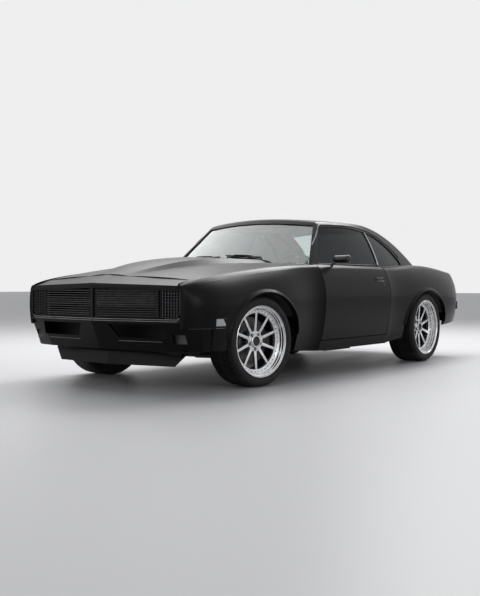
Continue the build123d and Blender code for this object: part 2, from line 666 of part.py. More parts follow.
# --- side glass: the door's pane ends at the strip, the quarter pane starts behind it ---
DOOR_TOP_Z = 911.5
STRIP_GAP = 10
QUARTER_GLASS_LOW_Z = 903
with BuildPart() as door_glass_left:
    add(side_glass.part)
    with Locations((700, STRIP_Y - STRIP_GAP / 2 - 1000, DOOR_TOP_Z + 500)):
        Box(600, 2000, 1000, mode=Mode.INTERSECT)
with BuildPart() as door_glass_right:
    mirror(door_glass_left.part, about=Plane.YZ)
with BuildPart() as quarter_glass:
    add(side_glass.part)
    with Locations((0, STRIP_Y + STRIP_GAP / 2 + 1000, 1200)):
        Box(2000, 2000, 2 * (1200 - QUARTER_GLASS_LOW_Z), mode=Mode.INTERSECT)
    add(quarters.part, mode=Mode.SUBTRACT)
keep(door_glass_left.part, "door_glass_left")
keep(door_glass_right.part, "door_glass_right")
keep(quarter_glass.part, "quarter_glass")

# --- door mirror, on a foot seated on the front of the left door's top ---
MIRROR = (BODY_HALF_WIDTH - 18, DOOR_FRONT_Y + 257, 955)
MIRROR_SIZE = (160, 52, 66)
MIRROR_FOOT_Z = 878
with BuildPart() as mirror_left:
    with Locations(MIRROR):
        Box(*MIRROR_SIZE)
    fillet(mirror_left.edges().filter_by(Axis.Y), radius=24)
    with BuildSketch(Plane.XY.offset(MIRROR_FOOT_Z)):
        with Locations((MIRROR[0] - 84, MIRROR[1] - 12)):
            Rectangle(30, 46)
    with BuildSketch(Plane.XY.offset(MIRROR[2] - 10)):
        with Locations((MIRROR[0] - 24, MIRROR[1] - 4)):
            Rectangle(24, 26)
    loft()
    add(door_left.part, mode=Mode.SUBTRACT)
keep(mirror_left.part, "mirror_left")

# --- cowl, firewall and hinge pillars ---
COWL_TOP_Z = GREENHOUSE_BASE_Z
COWL_BOTTOM_Z = 872
COWL_HALF_WIDTH = HOOD_HALF_WIDTH - 2
COWL_REAR_Y = DOOR_FRONT_Y + 134
PILLAR_OUTER_X = DOOR_INNER_X - 12
PILLAR_SIZE = (50, 96)
pillar_x = PILLAR_OUTER_X - PILLAR_SIZE[0] / 2
PANEL = 15
TUNNEL_HALF_WIDTH = 138
TUNNEL_TOP_Z = 350
FIREWALL_Y = DOOR_FRONT_Y + 7
pillar_y = FIREWALL_Y + PILLAR_SIZE[1] / 2
cowl_front_y = HOOD_REAR_CORNER_Y + PANEL_GAP + 2
with BuildPart() as cowl_panel:
    with BuildSketch(Plane.XY.offset(COWL_BOTTOM_Z)):
        with BuildLine():
            ThreePointArc(
                (-COWL_HALF_WIDTH, cowl_front_y),
                (0, HOOD_REAR_CENTRE_Y + PANEL_GAP + 2),
                (COWL_HALF_WIDTH, cowl_front_y),
            )
            Polyline(
                (COWL_HALF_WIDTH, cowl_front_y), (COWL_HALF_WIDTH, FIREWALL_Y),
                (PILLAR_OUTER_X, FIREWALL_Y), (PILLAR_OUTER_X, COWL_REAR_Y),
                (-PILLAR_OUTER_X, COWL_REAR_Y), (-PILLAR_OUTER_X, FIREWALL_Y),
                (-COWL_HALF_WIDTH, FIREWALL_Y), (-COWL_HALF_WIDTH, cowl_front_y),
            )
        make_face()
    extrude(amount=COWL_TOP_Z - COWL_BOTTOM_Z)
    with Locations((0, FIREWALL_Y - PANEL / 2, (FLOOR_Z + COWL_BOTTOM_Z) / 2)):
        Box(2 * COWL_HALF_WIDTH, PANEL, COWL_BOTTOM_Z - FLOOR_Z)
    for side in (-1, 1):
        with Locations((side * pillar_x, pillar_y, (FLOOR_Z + COWL_BOTTOM_Z) / 2)):
            Box(*PILLAR_SIZE, COWL_BOTTOM_Z - FLOOR_Z)
    with Locations((0, FIREWALL_Y, (FLOOR_Z + TUNNEL_TOP_Z) / 2)):
        Box(2 * TUNNEL_HALF_WIDTH, 100, TUNNEL_TOP_Z - FLOOR_Z, mode=Mode.SUBTRACT)
keep(cowl_panel.part, "cowl_panel")

# --- floor: main pan, tunnel, kick-up, rear floor, wheel tubs and side trims ---
FLOOR_BOTTOM_Z = 205
KICK_UP_Y = REAR_AXLE_Y - 563
REAR_FLOOR_Z = 458
SHEET = 12
REAR_FLOOR_TOP_Z = REAR_FLOOR_Z + SHEET
REAR_FLOOR_HALF_WIDTH = WHEEL_X - 167
REAR_FLOOR_END_Y = QUARTER_END_Y - 22
SIDE_TRIM_X = DOOR_INNER_X - 41
QUARTER_LINER_X = BODY_HALF_WIDTH - 40
with BuildPart() as floor_pan:
    with Locations((0, (FIREWALL_Y + KICK_UP_Y) / 2, (FLOOR_BOTTOM_Z + FLOOR_Z) / 2)):
        Box(2 * ROCKER_INNER_X, KICK_UP_Y - FIREWALL_Y, FLOOR_Z - FLOOR_BOTTOM_Z)
    with Locations((0, (FIREWALL_Y + KICK_UP_Y) / 2, (FLOOR_Z + TUNNEL_TOP_Z + SHEET) / 2)):
        Box(2 * (TUNNEL_HALF_WIDTH + SHEET), KICK_UP_Y - FIREWALL_Y, TUNNEL_TOP_Z + SHEET - FLOOR_Z)
    with Locations((0, KICK_UP_Y + SHEET / 2, (FLOOR_BOTTOM_Z + REAR_FLOOR_TOP_Z) / 2)):
        Box(2 * (SIDE_TRIM_X - SHEET / 2), SHEET, REAR_FLOOR_TOP_Z - FLOOR_BOTTOM_Z)
    with Locations((0, (KICK_UP_Y + REAR_FLOOR_END_Y) / 2, (REAR_FLOOR_Z + REAR_FLOOR_TOP_Z) / 2)):
        Box(2 * REAR_FLOOR_HALF_WIDTH, REAR_FLOOR_END_Y - KICK_UP_Y, REAR_FLOOR_TOP_Z - REAR_FLOOR_Z)
    for side in (-1, 1):
        with Locations((side * SIDE_TRIM_X, DOOR_REAR_Y + 197, (FLOOR_Z + 870) / 2)):
            Box(SHEET, 380, 870 - FLOOR_Z)
        with BuildSketch(along(side * (REAR_FLOOR_HALF_WIDTH - 10))):
            with BuildLine():
                add(arch_profile(REAR_AXLE_Y, SHEET))
            make_face()
        extrude(amount=side * 300)
    for side in (-1, 1):
        with BuildSketch(along(side * (REAR_FLOOR_HALF_WIDTH + 2))):
            with BuildLine():
                add(arch_profile(REAR_AXLE_Y, 0))
            make_face()
        extrude(amount=side * 400, mode=Mode.SUBTRACT)
    for side in (-1, 1):
        with Locations((side * (REAR_FLOOR_HALF_WIDTH - 20 + 210), REAR_AXLE_Y, REAR_FLOOR_Z / 2)):
            Box(420, 2 * ARCH_HALF_SPAN + 90, REAR_FLOOR_Z, mode=Mode.SUBTRACT)
    with Locations((0, (FIREWALL_Y + KICK_UP_Y) / 2, (FLOOR_BOTTOM_Z + TUNNEL_TOP_Z) / 2)):
        Box(2 * TUNNEL_HALF_WIDTH, KICK_UP_Y - FIREWALL_Y + 100, TUNNEL_TOP_Z - FLOOR_BOTTOM_Z, mode=Mode.SUBTRACT)
    add(quarters.part, mode=Mode.SUBTRACT)
    for side in (-1, 1):
        with Locations((side * (QUARTER_LINER_X + 50), REAR_AXLE_Y, 500)):
            Box(100, 1200, 1000, mode=Mode.SUBTRACT)
keep(floor_pan.part, "floor_pan")

# --- inner fenders: wheelhouse tops and walls beside the engine ---
WHEELHOUSE_X = KINGPIN_X - 237
with BuildPart() as inner_fender:
    with BuildSketch(along(WHEELHOUSE_X)):
        with BuildLine():
            add(arch_profile(FRONT_AXLE_Y, 10))
        make_face()
    extrude(amount=450)
    with BuildSketch(along(WHEELHOUSE_X + SHEET)):
        with BuildLine():
            add(arch_profile(FRONT_AXLE_Y, 0))
        make_face()
    extrude(amount=500, mode=Mode.SUBTRACT)
    with Locations((650, FRONT_AXLE_Y, 250)):
        Box(700, 1200, 500, mode=Mode.SUBTRACT)
    add(fender.part, mode=Mode.SUBTRACT)
with BuildPart() as inner_fenders:
    add(inner_fender.part)
    mirror(inner_fender.part, about=Plane.YZ)
keep(inner_fenders.part, "inner_fenders")

# --- rear shelf and filler panel between rear window and deck lid ---
SHELF_TOP_Z = GREENHOUSE_BASE_Z
SHELF_FRONT_Y = REAR_AXLE_Y - 181
FILLER_FRONT_Y = REAR_AXLE_Y + 69
FILLER_RISE = 28
SHELF_THICKNESS = 20
SHELF_END_Y = DECK_FRONT_Y - PANEL_GAP
with BuildPart() as rear_shelf:
    with Locations((0, (FILLER_FRONT_Y + SHELF_END_Y) / 2, SHELF_TOP_Z + FILLER_RISE / 2)):
        Box(2 * DECK_HALF_WIDTH, SHELF_END_Y - FILLER_FRONT_Y, FILLER_RISE)
    add(outer_shell.part, mode=Mode.SUBTRACT)
    with Locations((0, (SHELF_FRONT_Y + SHELF_END_Y) / 2, SHELF_TOP_Z - SHELF_THICKNESS / 2)):
        Box(2 * DECK_HALF_WIDTH, SHELF_END_Y - SHELF_FRONT_Y, SHELF_THICKNESS)
keep(rear_shelf.part, "rear_shelf")

# --- deck lid ---
# y: (edge z, centre z)
DECK = {DECK_FRONT_Y: (925, 937), DECK_FRONT_Y + 288: (904, 918), DECK_REAR_Y: (878, 892)}
DECK_THICKNESS = 25
with BuildPart() as deck_lid:
    for y, (edge_z, centre_z) in DECK.items():
        with BuildSketch(across(y)):
            with BuildLine():
                ThreePointArc((-DECK_HALF_WIDTH, edge_z), (0, centre_z), (DECK_HALF_WIDTH, edge_z))
                Polyline(
                    (DECK_HALF_WIDTH, edge_z),
                    (DECK_HALF_WIDTH, edge_z - DECK_THICKNESS),
                    (-DECK_HALF_WIDTH, edge_z - DECK_THICKNESS),
                    (-DECK_HALF_WIDTH, edge_z),
                )
            make_face()
    loft()
keep(deck_lid.part, "deck_lid")

# --- tail panel: the rear end with its rounded corners ---
# y: (low z, low inset, widest z, widest inset, shoulder z, shoulder inset, top centre z)
TAIL = {
    QUARTER_END_Y: (*SIDE[QUARTER_END_Y], 882),
    TAIL_Y - 38: (374, 136, 600, 102, 820, 166, 862),
    TAIL_Y: (400, 202, 600, 170, 792, 226, 832),
}
PLATE_HOLE_SPACING = 178
PLATE_HOLE_RADIUS = 3.5
PLATE_Z = 665
TAIL_HOLLOW = (DECK_HALF_WIDTH + 45, 40, 380)
STRIKER_WIDTH = 60
deck_underside_z = DECK[DECK_REAR_Y][0] - DECK_THICKNESS
with BuildPart() as tail_panel:
    for y, (low_z, low_inset, wide_z, wide_inset, shoulder_z, shoulder_inset, top_z) in TAIL.items():
        low_x = BODY_HALF_WIDTH - low_inset
        wide_x = BODY_HALF_WIDTH - wide_inset
        shoulder_x = BODY_HALF_WIDTH - shoulder_inset
        with BuildSketch(across(y)):
            with BuildLine():
                crown = (shoulder_x - CROWN_WIDTH, shoulder_z + CROWN_RISE)
                lower = TangentArc((wide_x, wide_z), (low_x, low_z), tangent=(0, -1))
                upper = TangentArc((wide_x, wide_z), (shoulder_x, shoulder_z), tangent=(0, 1))
                TangentArc(upper @ 1, crown, tangent=upper % 1)
                Polyline(crown, (0, top_z), (0, low_z), lower @ 1)
            make_face()
    loft()
    with Locations((QUARTER_TOP_X / 2, (DECK_REAR_Y + PANEL_GAP + QUARTER_END_Y) / 2, 850)):
        Box(QUARTER_TOP_X, QUARTER_END_Y - DECK_REAR_Y - PANEL_GAP, 50)
    with Locations((STRIKER_WIDTH / 2, (DECK_REAR_Y - 12 + QUARTER_END_Y) / 2, deck_underside_z - SEAM - 12)):
        Box(STRIKER_WIDTH, QUARTER_END_Y - DECK_REAR_Y + 12, 24)
    with Locations((TAIL_HOLLOW[0] / 2, QUARTER_END_Y + TAIL_HOLLOW[1] - 50, 640)):
        Box(TAIL_HOLLOW[0], 100, TAIL_HOLLOW[2], mode=Mode.SUBTRACT)
    mirror(about=Plane.YZ)
    with Locations(Plane(origin=(0, TAIL_Y, PLATE_Z), x_dir=(1, 0, 0), z_dir=(0, 1, 0))):
        with Locations((-PLATE_HOLE_SPACING / 2, 0), (PLATE_HOLE_SPACING / 2, 0)):
            Hole(radius=PLATE_HOLE_RADIUS, depth=20)
keep(tail_panel.part, "tail_panel")

TAIL_LAMP = (260, 10, 118)
with BuildPart() as tail_lamps:
    for side in (-1, 1):
        with Locations((side * (BODY_HALF_WIDTH - 363), TAIL_Y + TAIL_LAMP[1] / 2, PLATE_Z)):
            Box(*TAIL_LAMP)
keep(tail_lamps.part, "tail_lamps")

# --- rear bumper: a bowed bar on two brackets ---
BUMPER_Z = 525
BUMPER_HEIGHT = 80
BUMPER_THICKNESS = 32
BUMPER_HALF_WIDTH = BODY_HALF_WIDTH - 108
BUMPER_END_Y = TAIL_Y + 27
BUMPER_CENTRE_Y = TAIL_Y + 87
with BuildPart() as rear_bumper:
    with BuildSketch(Plane.XY.offset(BUMPER_Z - BUMPER_HEIGHT / 2)):
        with BuildLine():
            inner_end_y = BUMPER_END_Y - BUMPER_THICKNESS
            inner_centre = (0, BUMPER_CENTRE_Y - BUMPER_THICKNESS)
            ThreePointArc(
                (-BUMPER_HALF_WIDTH, BUMPER_END_Y), (0, BUMPER_CENTRE_Y), (BUMPER_HALF_WIDTH, BUMPER_END_Y)
            )
            Line((BUMPER_HALF_WIDTH, BUMPER_END_Y), (BUMPER_HALF_WIDTH, inner_end_y))
            ThreePointArc((BUMPER_HALF_WIDTH, inner_end_y), inner_centre, (-BUMPER_HALF_WIDTH, inner_end_y))
            Line((-BUMPER_HALF_WIDTH, inner_end_y), (-BUMPER_HALF_WIDTH, BUMPER_END_Y))
        make_face()
    extrude(amount=BUMPER_HEIGHT)
    for side in (-1, 1):
        with Locations((side * BUMPER_HALF_WIDTH * 0.56, TAIL_Y + 22, BUMPER_Z)):
            Box(40, 44, 40)
keep(rear_bumper.part, "rear_bumper")

# --- side markers, let into the front fenders ---
with BuildPart() as side_markers:
    for side in (-1, 1):
        with Locations((side * (BODY_HALF_WIDTH - 60), FRONT_AXLE_Y - 534, 486)):
            Box(80, 92, 48)
    add(fenders.part, mode=Mode.INTERSECT)
with BuildPart() as cut_fenders:
    add(fenders.part)
    add(side_markers.part, mode=Mode.SUBTRACT)
keep(side_markers.part, "side_markers")
keep(cut_fenders.part, "fenders")

# --- wipers, parked at the foot of the windshield ---
# pivot x, pivot y, middle of arm x, middle of arm y, turn in degrees, y from the hood's rear centre
WIPERS = ((455, 143, 250, 111, 8), (-110, 73, -318, 111, -10.5))
with BuildPart() as wipers:
    for pivot_x, pivot_y, arm_x, arm_y, turn in WIPERS:
        with BuildSketch(Plane.XY.offset(COWL_TOP_Z)):
            with Locations((pivot_x, HOOD_REAR_CENTRE_Y + pivot_y)):
                Circle(11)
        extrude(amount=26)
        with BuildSketch(Plane.XY.offset(COWL_TOP_Z + 18)):
            with Locations((arm_x, HOOD_REAR_CENTRE_Y + arm_y)):
                Rectangle(430, 12, rotation=turn)
        extrude(amount=8)
keep(wipers.part, "wipers")

# --- dashboard with its glove-side face and column shroud ---
DASH_HALF_WIDTH = PILLAR_OUTER_X - 52
DASH_BOTTOM_Z = 640
DASH_TOP_Z = 868
with BuildPart() as dashboard:
    with BuildSketch(along(-DASH_HALF_WIDTH)):
        with BuildLine():
            Polyline(
                (FIREWALL_Y, DASH_BOTTOM_Z), (FIREWALL_Y, DASH_TOP_Z), (FIREWALL_Y + 167, DASH_TOP_Z),
                (FIREWALL_Y + 252, DASH_TOP_Z - 30), (FIREWALL_Y + 275, DASH_TOP_Z - 108),
                (FIREWALL_Y + 207, DASH_BOTTOM_Z), close=True,
            )
        make_face()
    extrude(amount=2 * DASH_HALF_WIDTH)
keep(dashboard.part, "dashboard")

# --- steering wheel on its column ---
DRIVER_X = BODY_HALF_WIDTH - 533
STEERING_WHEEL_RADIUS = 178
STEERING_RIM = 13
COLUMN_TILT = 24
column_plane = Plane(
    origin=(DRIVER_X, DOOR_FRONT_Y + 454, 842),
    x_dir=(1, 0, 0),
    z_dir=(0, cos(radians(COLUMN_TILT)), sin(radians(COLUMN_TILT))),
)
with BuildPart() as steering_wheel:
    with BuildSketch(Plane(origin=column_plane.origin, x_dir=(1, 0, 0), z_dir=-column_plane.y_dir)):
        with Locations((STEERING_WHEEL_RADIUS, 0)):
            Circle(STEERING_RIM)
    revolve(axis=Axis(column_plane.origin, column_plane.z_dir))
    with BuildSketch(column_plane):
        Circle(40)
        for angle in (0, 180, 270):
            with Locations(Rotation(0, 0, angle)):
                with Locations((STEERING_WHEEL_RADIUS / 2, 0)):
                    Rectangle(STEERING_WHEEL_RADIUS, 26)
    extrude(amount=5, both=True)
    with BuildSketch(column_plane):
        Circle(26)
    extrude(amount=-200)
    add(dashboard.part, mode=Mode.SUBTRACT)
keep(steering_wheel.part, "steering_wheel")

# --- front bucket seats ---
SEAT_WIDTH = 440
SEAT_BASE_Z = 300
SEAT_FRONT_Y = DOOR_FRONT_Y + 524
with BuildPart() as seat:
    with BuildSketch(along(DRIVER_X - SEAT_WIDTH / 2)):
        with BuildLine():
            Polyline(
                (SEAT_FRONT_Y + 10, SEAT_BASE_Z + 30), (SEAT_FRONT_Y, SEAT_BASE_Z + 125),
                (SEAT_FRONT_Y + 40, SEAT_BASE_Z + 162), (SEAT_FRONT_Y + 380, SEAT_BASE_Z + 140),
                (SEAT_FRONT_Y + 532, 905), (SEAT_FRONT_Y + 580, 925), (SEAT_FRONT_Y + 620, 900),
                (SEAT_FRONT_Y + 510, SEAT_BASE_Z + 40), (SEAT_FRONT_Y + 480, SEAT_BASE_Z),
                (SEAT_FRONT_Y + 30, SEAT_BASE_Z), close=True,
            )
        make_face()
    extrude(amount=SEAT_WIDTH)
    fillet(seat.edges().filter_by(GeomType.LINE).filter_by(lambda e: abs((e % 0.5).X) < 0.01), radius=22)
    for y in (SEAT_FRONT_Y + 100, SEAT_FRONT_Y + 410):
        with Locations((DRIVER_X, y, (FLOOR_Z + SEAT_BASE_Z + 10) / 2)):
            Box(SEAT_WIDTH - 160, 40, SEAT_BASE_Z + 10 - FLOOR_Z)
with BuildPart() as front_seats:
    add(seat.part)
    mirror(seat.part, about=Plane.YZ)
keep(front_seats.part, "front_seats")

# --- rear bench between the wheel tubs ---
REAR_SEAT_HALF_WIDTH = REAR_FLOOR_HALF_WIDTH - 20
REAR_SEAT_TOP_Z = 868
with BuildPart() as rear_seat:
    with BuildSketch(along(-REAR_SEAT_HALF_WIDTH)):
        with BuildLine():
            Polyline(
                (KICK_UP_Y + 22, REAR_FLOOR_TOP_Z), (KICK_UP_Y + 17, REAR_FLOOR_TOP_Z + 120),
                (KICK_UP_Y + 52, REAR_FLOOR_TOP_Z + 145), (KICK_UP_Y + 262, REAR_FLOOR_TOP_Z + 120),
                (KICK_UP_Y + 357, REAR_SEAT_TOP_Z), (KICK_UP_Y + 427, REAR_SEAT_TOP_Z),
                (KICK_UP_Y + 392, REAR_FLOOR_TOP_Z), close=True,
            )
        make_face()
    extrude(amount=2 * REAR_SEAT_HALF_WIDTH)
keep(rear_seat.part, "rear_seat")

# --- engine: one plain block of the V8's size, on the front crossmember's mounts ---
ENGINE_SIZE = (540, 700, 550)
ENGINE_BOTTOM_Z = 255
ENGINE_Y = FRONT_AXLE_Y + 35
with BuildPart() as engine_block:
    with Locations((0, ENGINE_Y, ENGINE_BOTTOM_Z + ENGINE_SIZE[2] / 2)):
        Box(*ENGINE_SIZE)
keep(engine_block.part, "engine_block")

# --- driveline: bell housing, gearbox and propeller shaft ---
SHAFT_Z = 300
BELL_LENGTH = 150
GEARBOX_LENGTH = 500
DIFFERENTIAL_FRONT_Y = REAR_AXLE_Y - 141
engine_rear_y = ENGINE_Y + ENGINE_SIZE[1] / 2
with BuildPart() as driveline:
    with Locations((0, engine_rear_y + BELL_LENGTH / 2, 340)):
        Box(350, BELL_LENGTH, 250)
    with Locations((0, engine_rear_y + BELL_LENGTH + GEARBOX_LENGTH / 2, 280)):
        Box(200, GEARBOX_LENGTH, 110)
    with BuildSketch(across(engine_rear_y + BELL_LENGTH + GEARBOX_LENGTH)):
        with Locations((0, SHAFT_Z)):
            Circle(36)
    extrude(amount=engine_rear_y + BELL_LENGTH + GEARBOX_LENGTH - DIFFERENTIAL_FRONT_Y)
keep(driveline.part, "driveline")

# --- radiator in its support, standing on the subframe rails, with the hood's rubber stops on top ---
RADIATOR_Y = FRONT_AXLE_Y - 575
RADIATOR_SIZE = (620, 55, 415)
SUPPORT_TOP_Z = 770
STOP_RADIUS = 11
with BuildPart() as radiator:
    with Locations((0, RADIATOR_Y, RAIL_Z[1] + 20 + RADIATOR_SIZE[2] / 2)):
        Box(*RADIATOR_SIZE)
    for side in (-1, 1):
        with Locations((side * (RAIL_INNER_X + 5), RADIATOR_Y, (RAIL_Z[1] + SUPPORT_TOP_Z) / 2)):
            Box(50, 70, SUPPORT_TOP_Z - RAIL_Z[1])
        with BuildSketch(Plane.XY.offset(SUPPORT_TOP_Z)):
            with Locations((side * (RAIL_INNER_X + 5), RADIATOR_Y)):
                Circle(STOP_RADIUS)
        extrude(amount=36)
    add(hood.part.moved(Location((0, 0, -SEAM))), mode=Mode.SUBTRACT)
keep(radiator.part, "radiator")

# --- front subframe: rails, crossmembers, towers and control arms ---
LOWER_ARM_Z = (195, 219)
UPPER_ARM_Z = (441, 465)
ARM_EYE_RADIUS = 26
KNUCKLE_CLEARANCE = 0.3
rail_rear_y = FIREWALL_Y - PANEL
rail_z = (RAIL_Z[0] + RAIL_Z[1]) / 2
with BuildPart() as front_subframe:
    for side in (-1, 1):
        with Locations((side * RAIL_X, (RAIL_FRONT_Y + rail_rear_y) / 2, rail_z)):
            Box(RAIL_OUTER_X - RAIL_INNER_X, rail_rear_y - RAIL_FRONT_Y, RAIL_Z[1] - RAIL_Z[0])
        with Locations((side * (RAIL_X - 3), FRONT_AXLE_Y, (RAIL_Z[1] + UPPER_ARM_Z[1] + 15) / 2)):
            Box(76, 120, UPPER_ARM_Z[1] + 15 - RAIL_Z[1])
        for low, high, spread in ((*LOWER_ARM_Z, 150), (*UPPER_ARM_Z, 70)):
            with BuildSketch(Plane.XY.offset(low)):
                with BuildLine():
                    Polyline(
                        (side * (RAIL_INNER_X + 15), FRONT_AXLE_Y - spread),
                        (side * (KINGPIN_X - 10), FRONT_AXLE_Y - 22),
                        (side * (KINGPIN_X - 10), FRONT_AXLE_Y + 22),
                        (side * (RAIL_INNER_X + 15), FRONT_AXLE_Y + spread),
                        close=True,
                    )
                make_face()
                with Locations((side * KINGPIN_X, FRONT_AXLE_Y)):
                    Circle(ARM_EYE_RADIUS)
            extrude(amount=high - low)
    with Locations((0, FRONT_AXLE_Y, (LOWER_ARM_Z[0] + ENGINE_BOTTOM_Z) / 2)):
        Box(2 * RAIL_OUTER_X, 170, ENGINE_BOTTOM_Z - LOWER_ARM_Z[0])
    with Locations((0, RAIL_FRONT_Y + 20, rail_z)):
        Box(2 * RAIL_INNER_X, 40, 80)
keep(front_subframe.part, "front_subframe")

# --- exhaust: two pipes from the engine to the tail, each with a silencer and a hanger ---
PIPE_X = 222
PIPE_Z = 172
PIPE_RADIUS = 26
PIPE_BEND = 60
SILENCER_SIZE = (220, 450, 64)
HANGER_Y = TAIL_Y - 193
pipe_front_y = engine_rear_y - 40
with BuildPart() as exhaust_side:
    with BuildLine() as route:
        FilletPolyline(
            (PIPE_X, pipe_front_y, ENGINE_BOTTOM_Z - 0.5), (PIPE_X, pipe_front_y, PIPE_Z),
            (PIPE_X, TAIL_Y - 28, PIPE_Z), radius=PIPE_BEND,
        )
    with BuildSketch(Plane(origin=route.line @ 0, z_dir=route.line % 0)):
        Circle(PIPE_RADIUS)
    sweep()
    with Locations((PIPE_X + 53, DOOR_REAR_Y - 63, PIPE_Z - 2)):
        Box(*SILENCER_SIZE)
    with Locations((PIPE_X, HANGER_Y, (PIPE_Z + 20 + REAR_FLOOR_Z) / 2)):
        Box(8, 30, REAR_FLOOR_Z - PIPE_Z - 20)
with BuildPart() as exhaust:
    add(exhaust_side.part)
    mirror(exhaust_side.part, about=Plane.YZ)
keep(exhaust.part, "exhaust")

# --- fuel tank under the trunk floor ---
TANK_SIZE = (600, 420, 158)
with BuildPart() as fuel_tank:
    with Locations((0, REAR_AXLE_Y + 459, REAR_FLOOR_Z - TANK_SIZE[2] / 2)):
        Box(*TANK_SIZE)
    fillet(fuel_tank.edges().filter_by(Axis.Z), radius=50)
keep(fuel_tank.part, "fuel_tank")


# --- wheels: rim, spokes, hub and brake disc in one piece; tyre; knuckle with stub and caliper ---
def wheel_plane(side, axle_y, steer):
    """Plane through a wheel's middle: X points out of the car along the spin axis, Y points up."""
    out = Vector(side * cos(radians(steer)), -side * sin(radians(steer)), 0)
    if axle_y == FRONT_AXLE_Y:
        centre = Vector(side * KINGPIN_X, axle_y, TYRE_RADIUS) + out * (WHEEL_X - KINGPIN_X)
    else:
        centre = Vector(side * WHEEL_X, axle_y, TYRE_RADIUS)
    return Plane(origin=centre, x_dir=out, z_dir=out.cross(Vector(0, 0, 1)))


def tyre_solid(plane, width):
    """Tyre as a ring with bulged walls, round its rim."""
    half = width / 2
    with BuildPart() as tyre:
        with BuildSketch(plane):
            with BuildLine():
                bead = half - 17.4
                wall = half - 11
                tread_edge = TYRE_RADIUS - 9
                bulge = (RIM_RADIUS + TYRE_RADIUS) / 2 - 4
                Line((-bead, BEAD_RADIUS + SEAM), (bead, BEAD_RADIUS + SEAM))
                Line((bead, BEAD_RADIUS + SEAM), (bead, RIM_RADIUS + 1))
                Line((bead, RIM_RADIUS + 1), (half - 7, RIM_RADIUS + 2))
                ThreePointArc((half - 7, RIM_RADIUS + 2), (half, bulge), (wall, tread_edge))
                Line((wall, tread_edge), (half - 26, TYRE_RADIUS))
                Line((half - 26, TYRE_RADIUS), (26 - half, TYRE_RADIUS))
                Line((26 - half, TYRE_RADIUS), (-wall, tread_edge))
                ThreePointArc((-wall, tread_edge), (-half, bulge), (7 - half, RIM_RADIUS + 2))
                Line((7 - half, RIM_RADIUS + 2), (-bead, RIM_RADIUS + 1))
                Line((-bead, RIM_RADIUS + 1), (-bead, BEAD_RADIUS + SEAM))
            make_face()
        revolve(axis=Axis(plane.origin, plane.x_dir))
    return tyre.part


def wheel_solid(plane, width):
    """Rim barrel with ten spokes on a hub, and the brake disc behind them."""
    lip = width / 2 - 7
    well = BEAD_RADIUS - 14
    seat = BEAD_RADIUS - 7
    inside = BEAD_RADIUS - 22
    edge = RIM_RADIUS - 6
    out = plane.x_dir
    axis = Axis(plane.origin, out)
    with BuildPart() as wheel:
        with BuildSketch(plane):
            with BuildLine():
                Polyline(
                    (-lip, RIM_RADIUS), (6 - lip, RIM_RADIUS), (10 - lip, BEAD_RADIUS), (46 - lip, BEAD_RADIUS),
                    (58 - lip, well), (lip - 58, well), (lip - 46, BEAD_RADIUS), (lip - 10, BEAD_RADIUS),
                    (lip - 6, RIM_RADIUS), (lip, RIM_RADIUS), (lip, edge), (lip - 6, seat),
                    (lip - 42, seat), (lip - 54, inside), (54 - lip, inside), (42 - lip, seat),
                    (6 - lip, seat), (-lip, edge), close=True,
                )
            make_face()
            with BuildLine():
                Polyline(
                    (DISC_BACK, BORE_RADIUS), (DISC_BACK, DISC_RADIUS), (DISC_BACK + DISC_THICKNESS, DISC_RADIUS),
                    (DISC_BACK + DISC_THICKNESS, HUB_RADIUS), (HUB_FACE, HUB_RADIUS), (HUB_FACE, BORE_RADIUS),
                    close=True,
                )
            make_face()
        revolve(axis=axis)
        spoke_plane = Plane(origin=plane.origin + out * SPOKE_BACK, x_dir=(0, 0, 1), z_dir=out)
        with BuildSketch(spoke_plane):
            for index in range(SPOKES):
                with Locations(Rotation(0, 0, index * 360 / SPOKES)):
                    with Locations(((HUB_RADIUS + inside) / 2 - 1, 0)):
                        Rectangle(inside - HUB_RADIUS + 10, SPOKE_WIDTH)
        extrude(amount=SPOKE_DEPTH)
    return wheel.part


def caliper_boxes(plane, side):
    """Adds a brake caliper and its bracket to the open part, behind the wheel's middle."""
    frame = Plane(origin=plane.origin, x_dir=plane.x_dir, z_dir=(0, 0, 1))
    with Locations(frame):
        with Locations((DISC_BACK + 9, side * (DISC_RADIUS - 19), 0)):
            Box(DISC_THICKNESS + 36, 82, 124)
        with Locations((DISC_BACK - 37.5, side * 75, 0)):
            Box(45, 150, 56)
        with Locations((DISC_BACK + DISC_THICKNESS / 2, side * (DISC_RADIUS - 35), 0)):
            Box(DISC_THICKNESS + 12, 86, 140, mode=Mode.SUBTRACT)


def knuckle_solid(side):
    """Upright on the kingpin axis with stub axle and caliper."""
    plane = wheel_plane(side, FRONT_AXLE_Y, STEER_AT_REST)
    out = plane.x_dir
    inset = WHEEL_X - KINGPIN_X
    with BuildPart() as knuckle:
        with BuildSketch(Plane.XY.offset(LOWER_ARM_Z[1] + KNUCKLE_CLEARANCE)):
            with Locations((side * KINGPIN_X, FRONT_AXLE_Y)):
                Circle(24)
        extrude(amount=UPPER_ARM_Z[0] - LOWER_ARM_Z[1] - 2 * KNUCKLE_CLEARANCE)
        with BuildSketch(Plane(origin=plane.origin - out * inset, x_dir=(0, 0, 1), z_dir=out)):
            Circle(STUB_RADIUS)
        extrude(amount=inset + 15)
        caliper_boxes(plane, side)
    return knuckle.part


for side, name in ((1, "left"), (-1, "right")):
    keep(knuckle_solid(side), f"knuckle_{name}")
    for end, axle_y, steer, width in (
        ("front", FRONT_AXLE_Y, STEER_AT_REST, FRONT_TYRE_WIDTH),
        ("rear", REAR_AXLE_Y, 0, REAR_TYRE_WIDTH),
    ):
        plane = wheel_plane(side, axle_y, steer)
        keep(wheel_solid(plane, width), f"wheel_{end}_{name}")
        keep(tyre_solid(plane, width), f"tyre_{end}_{name}")

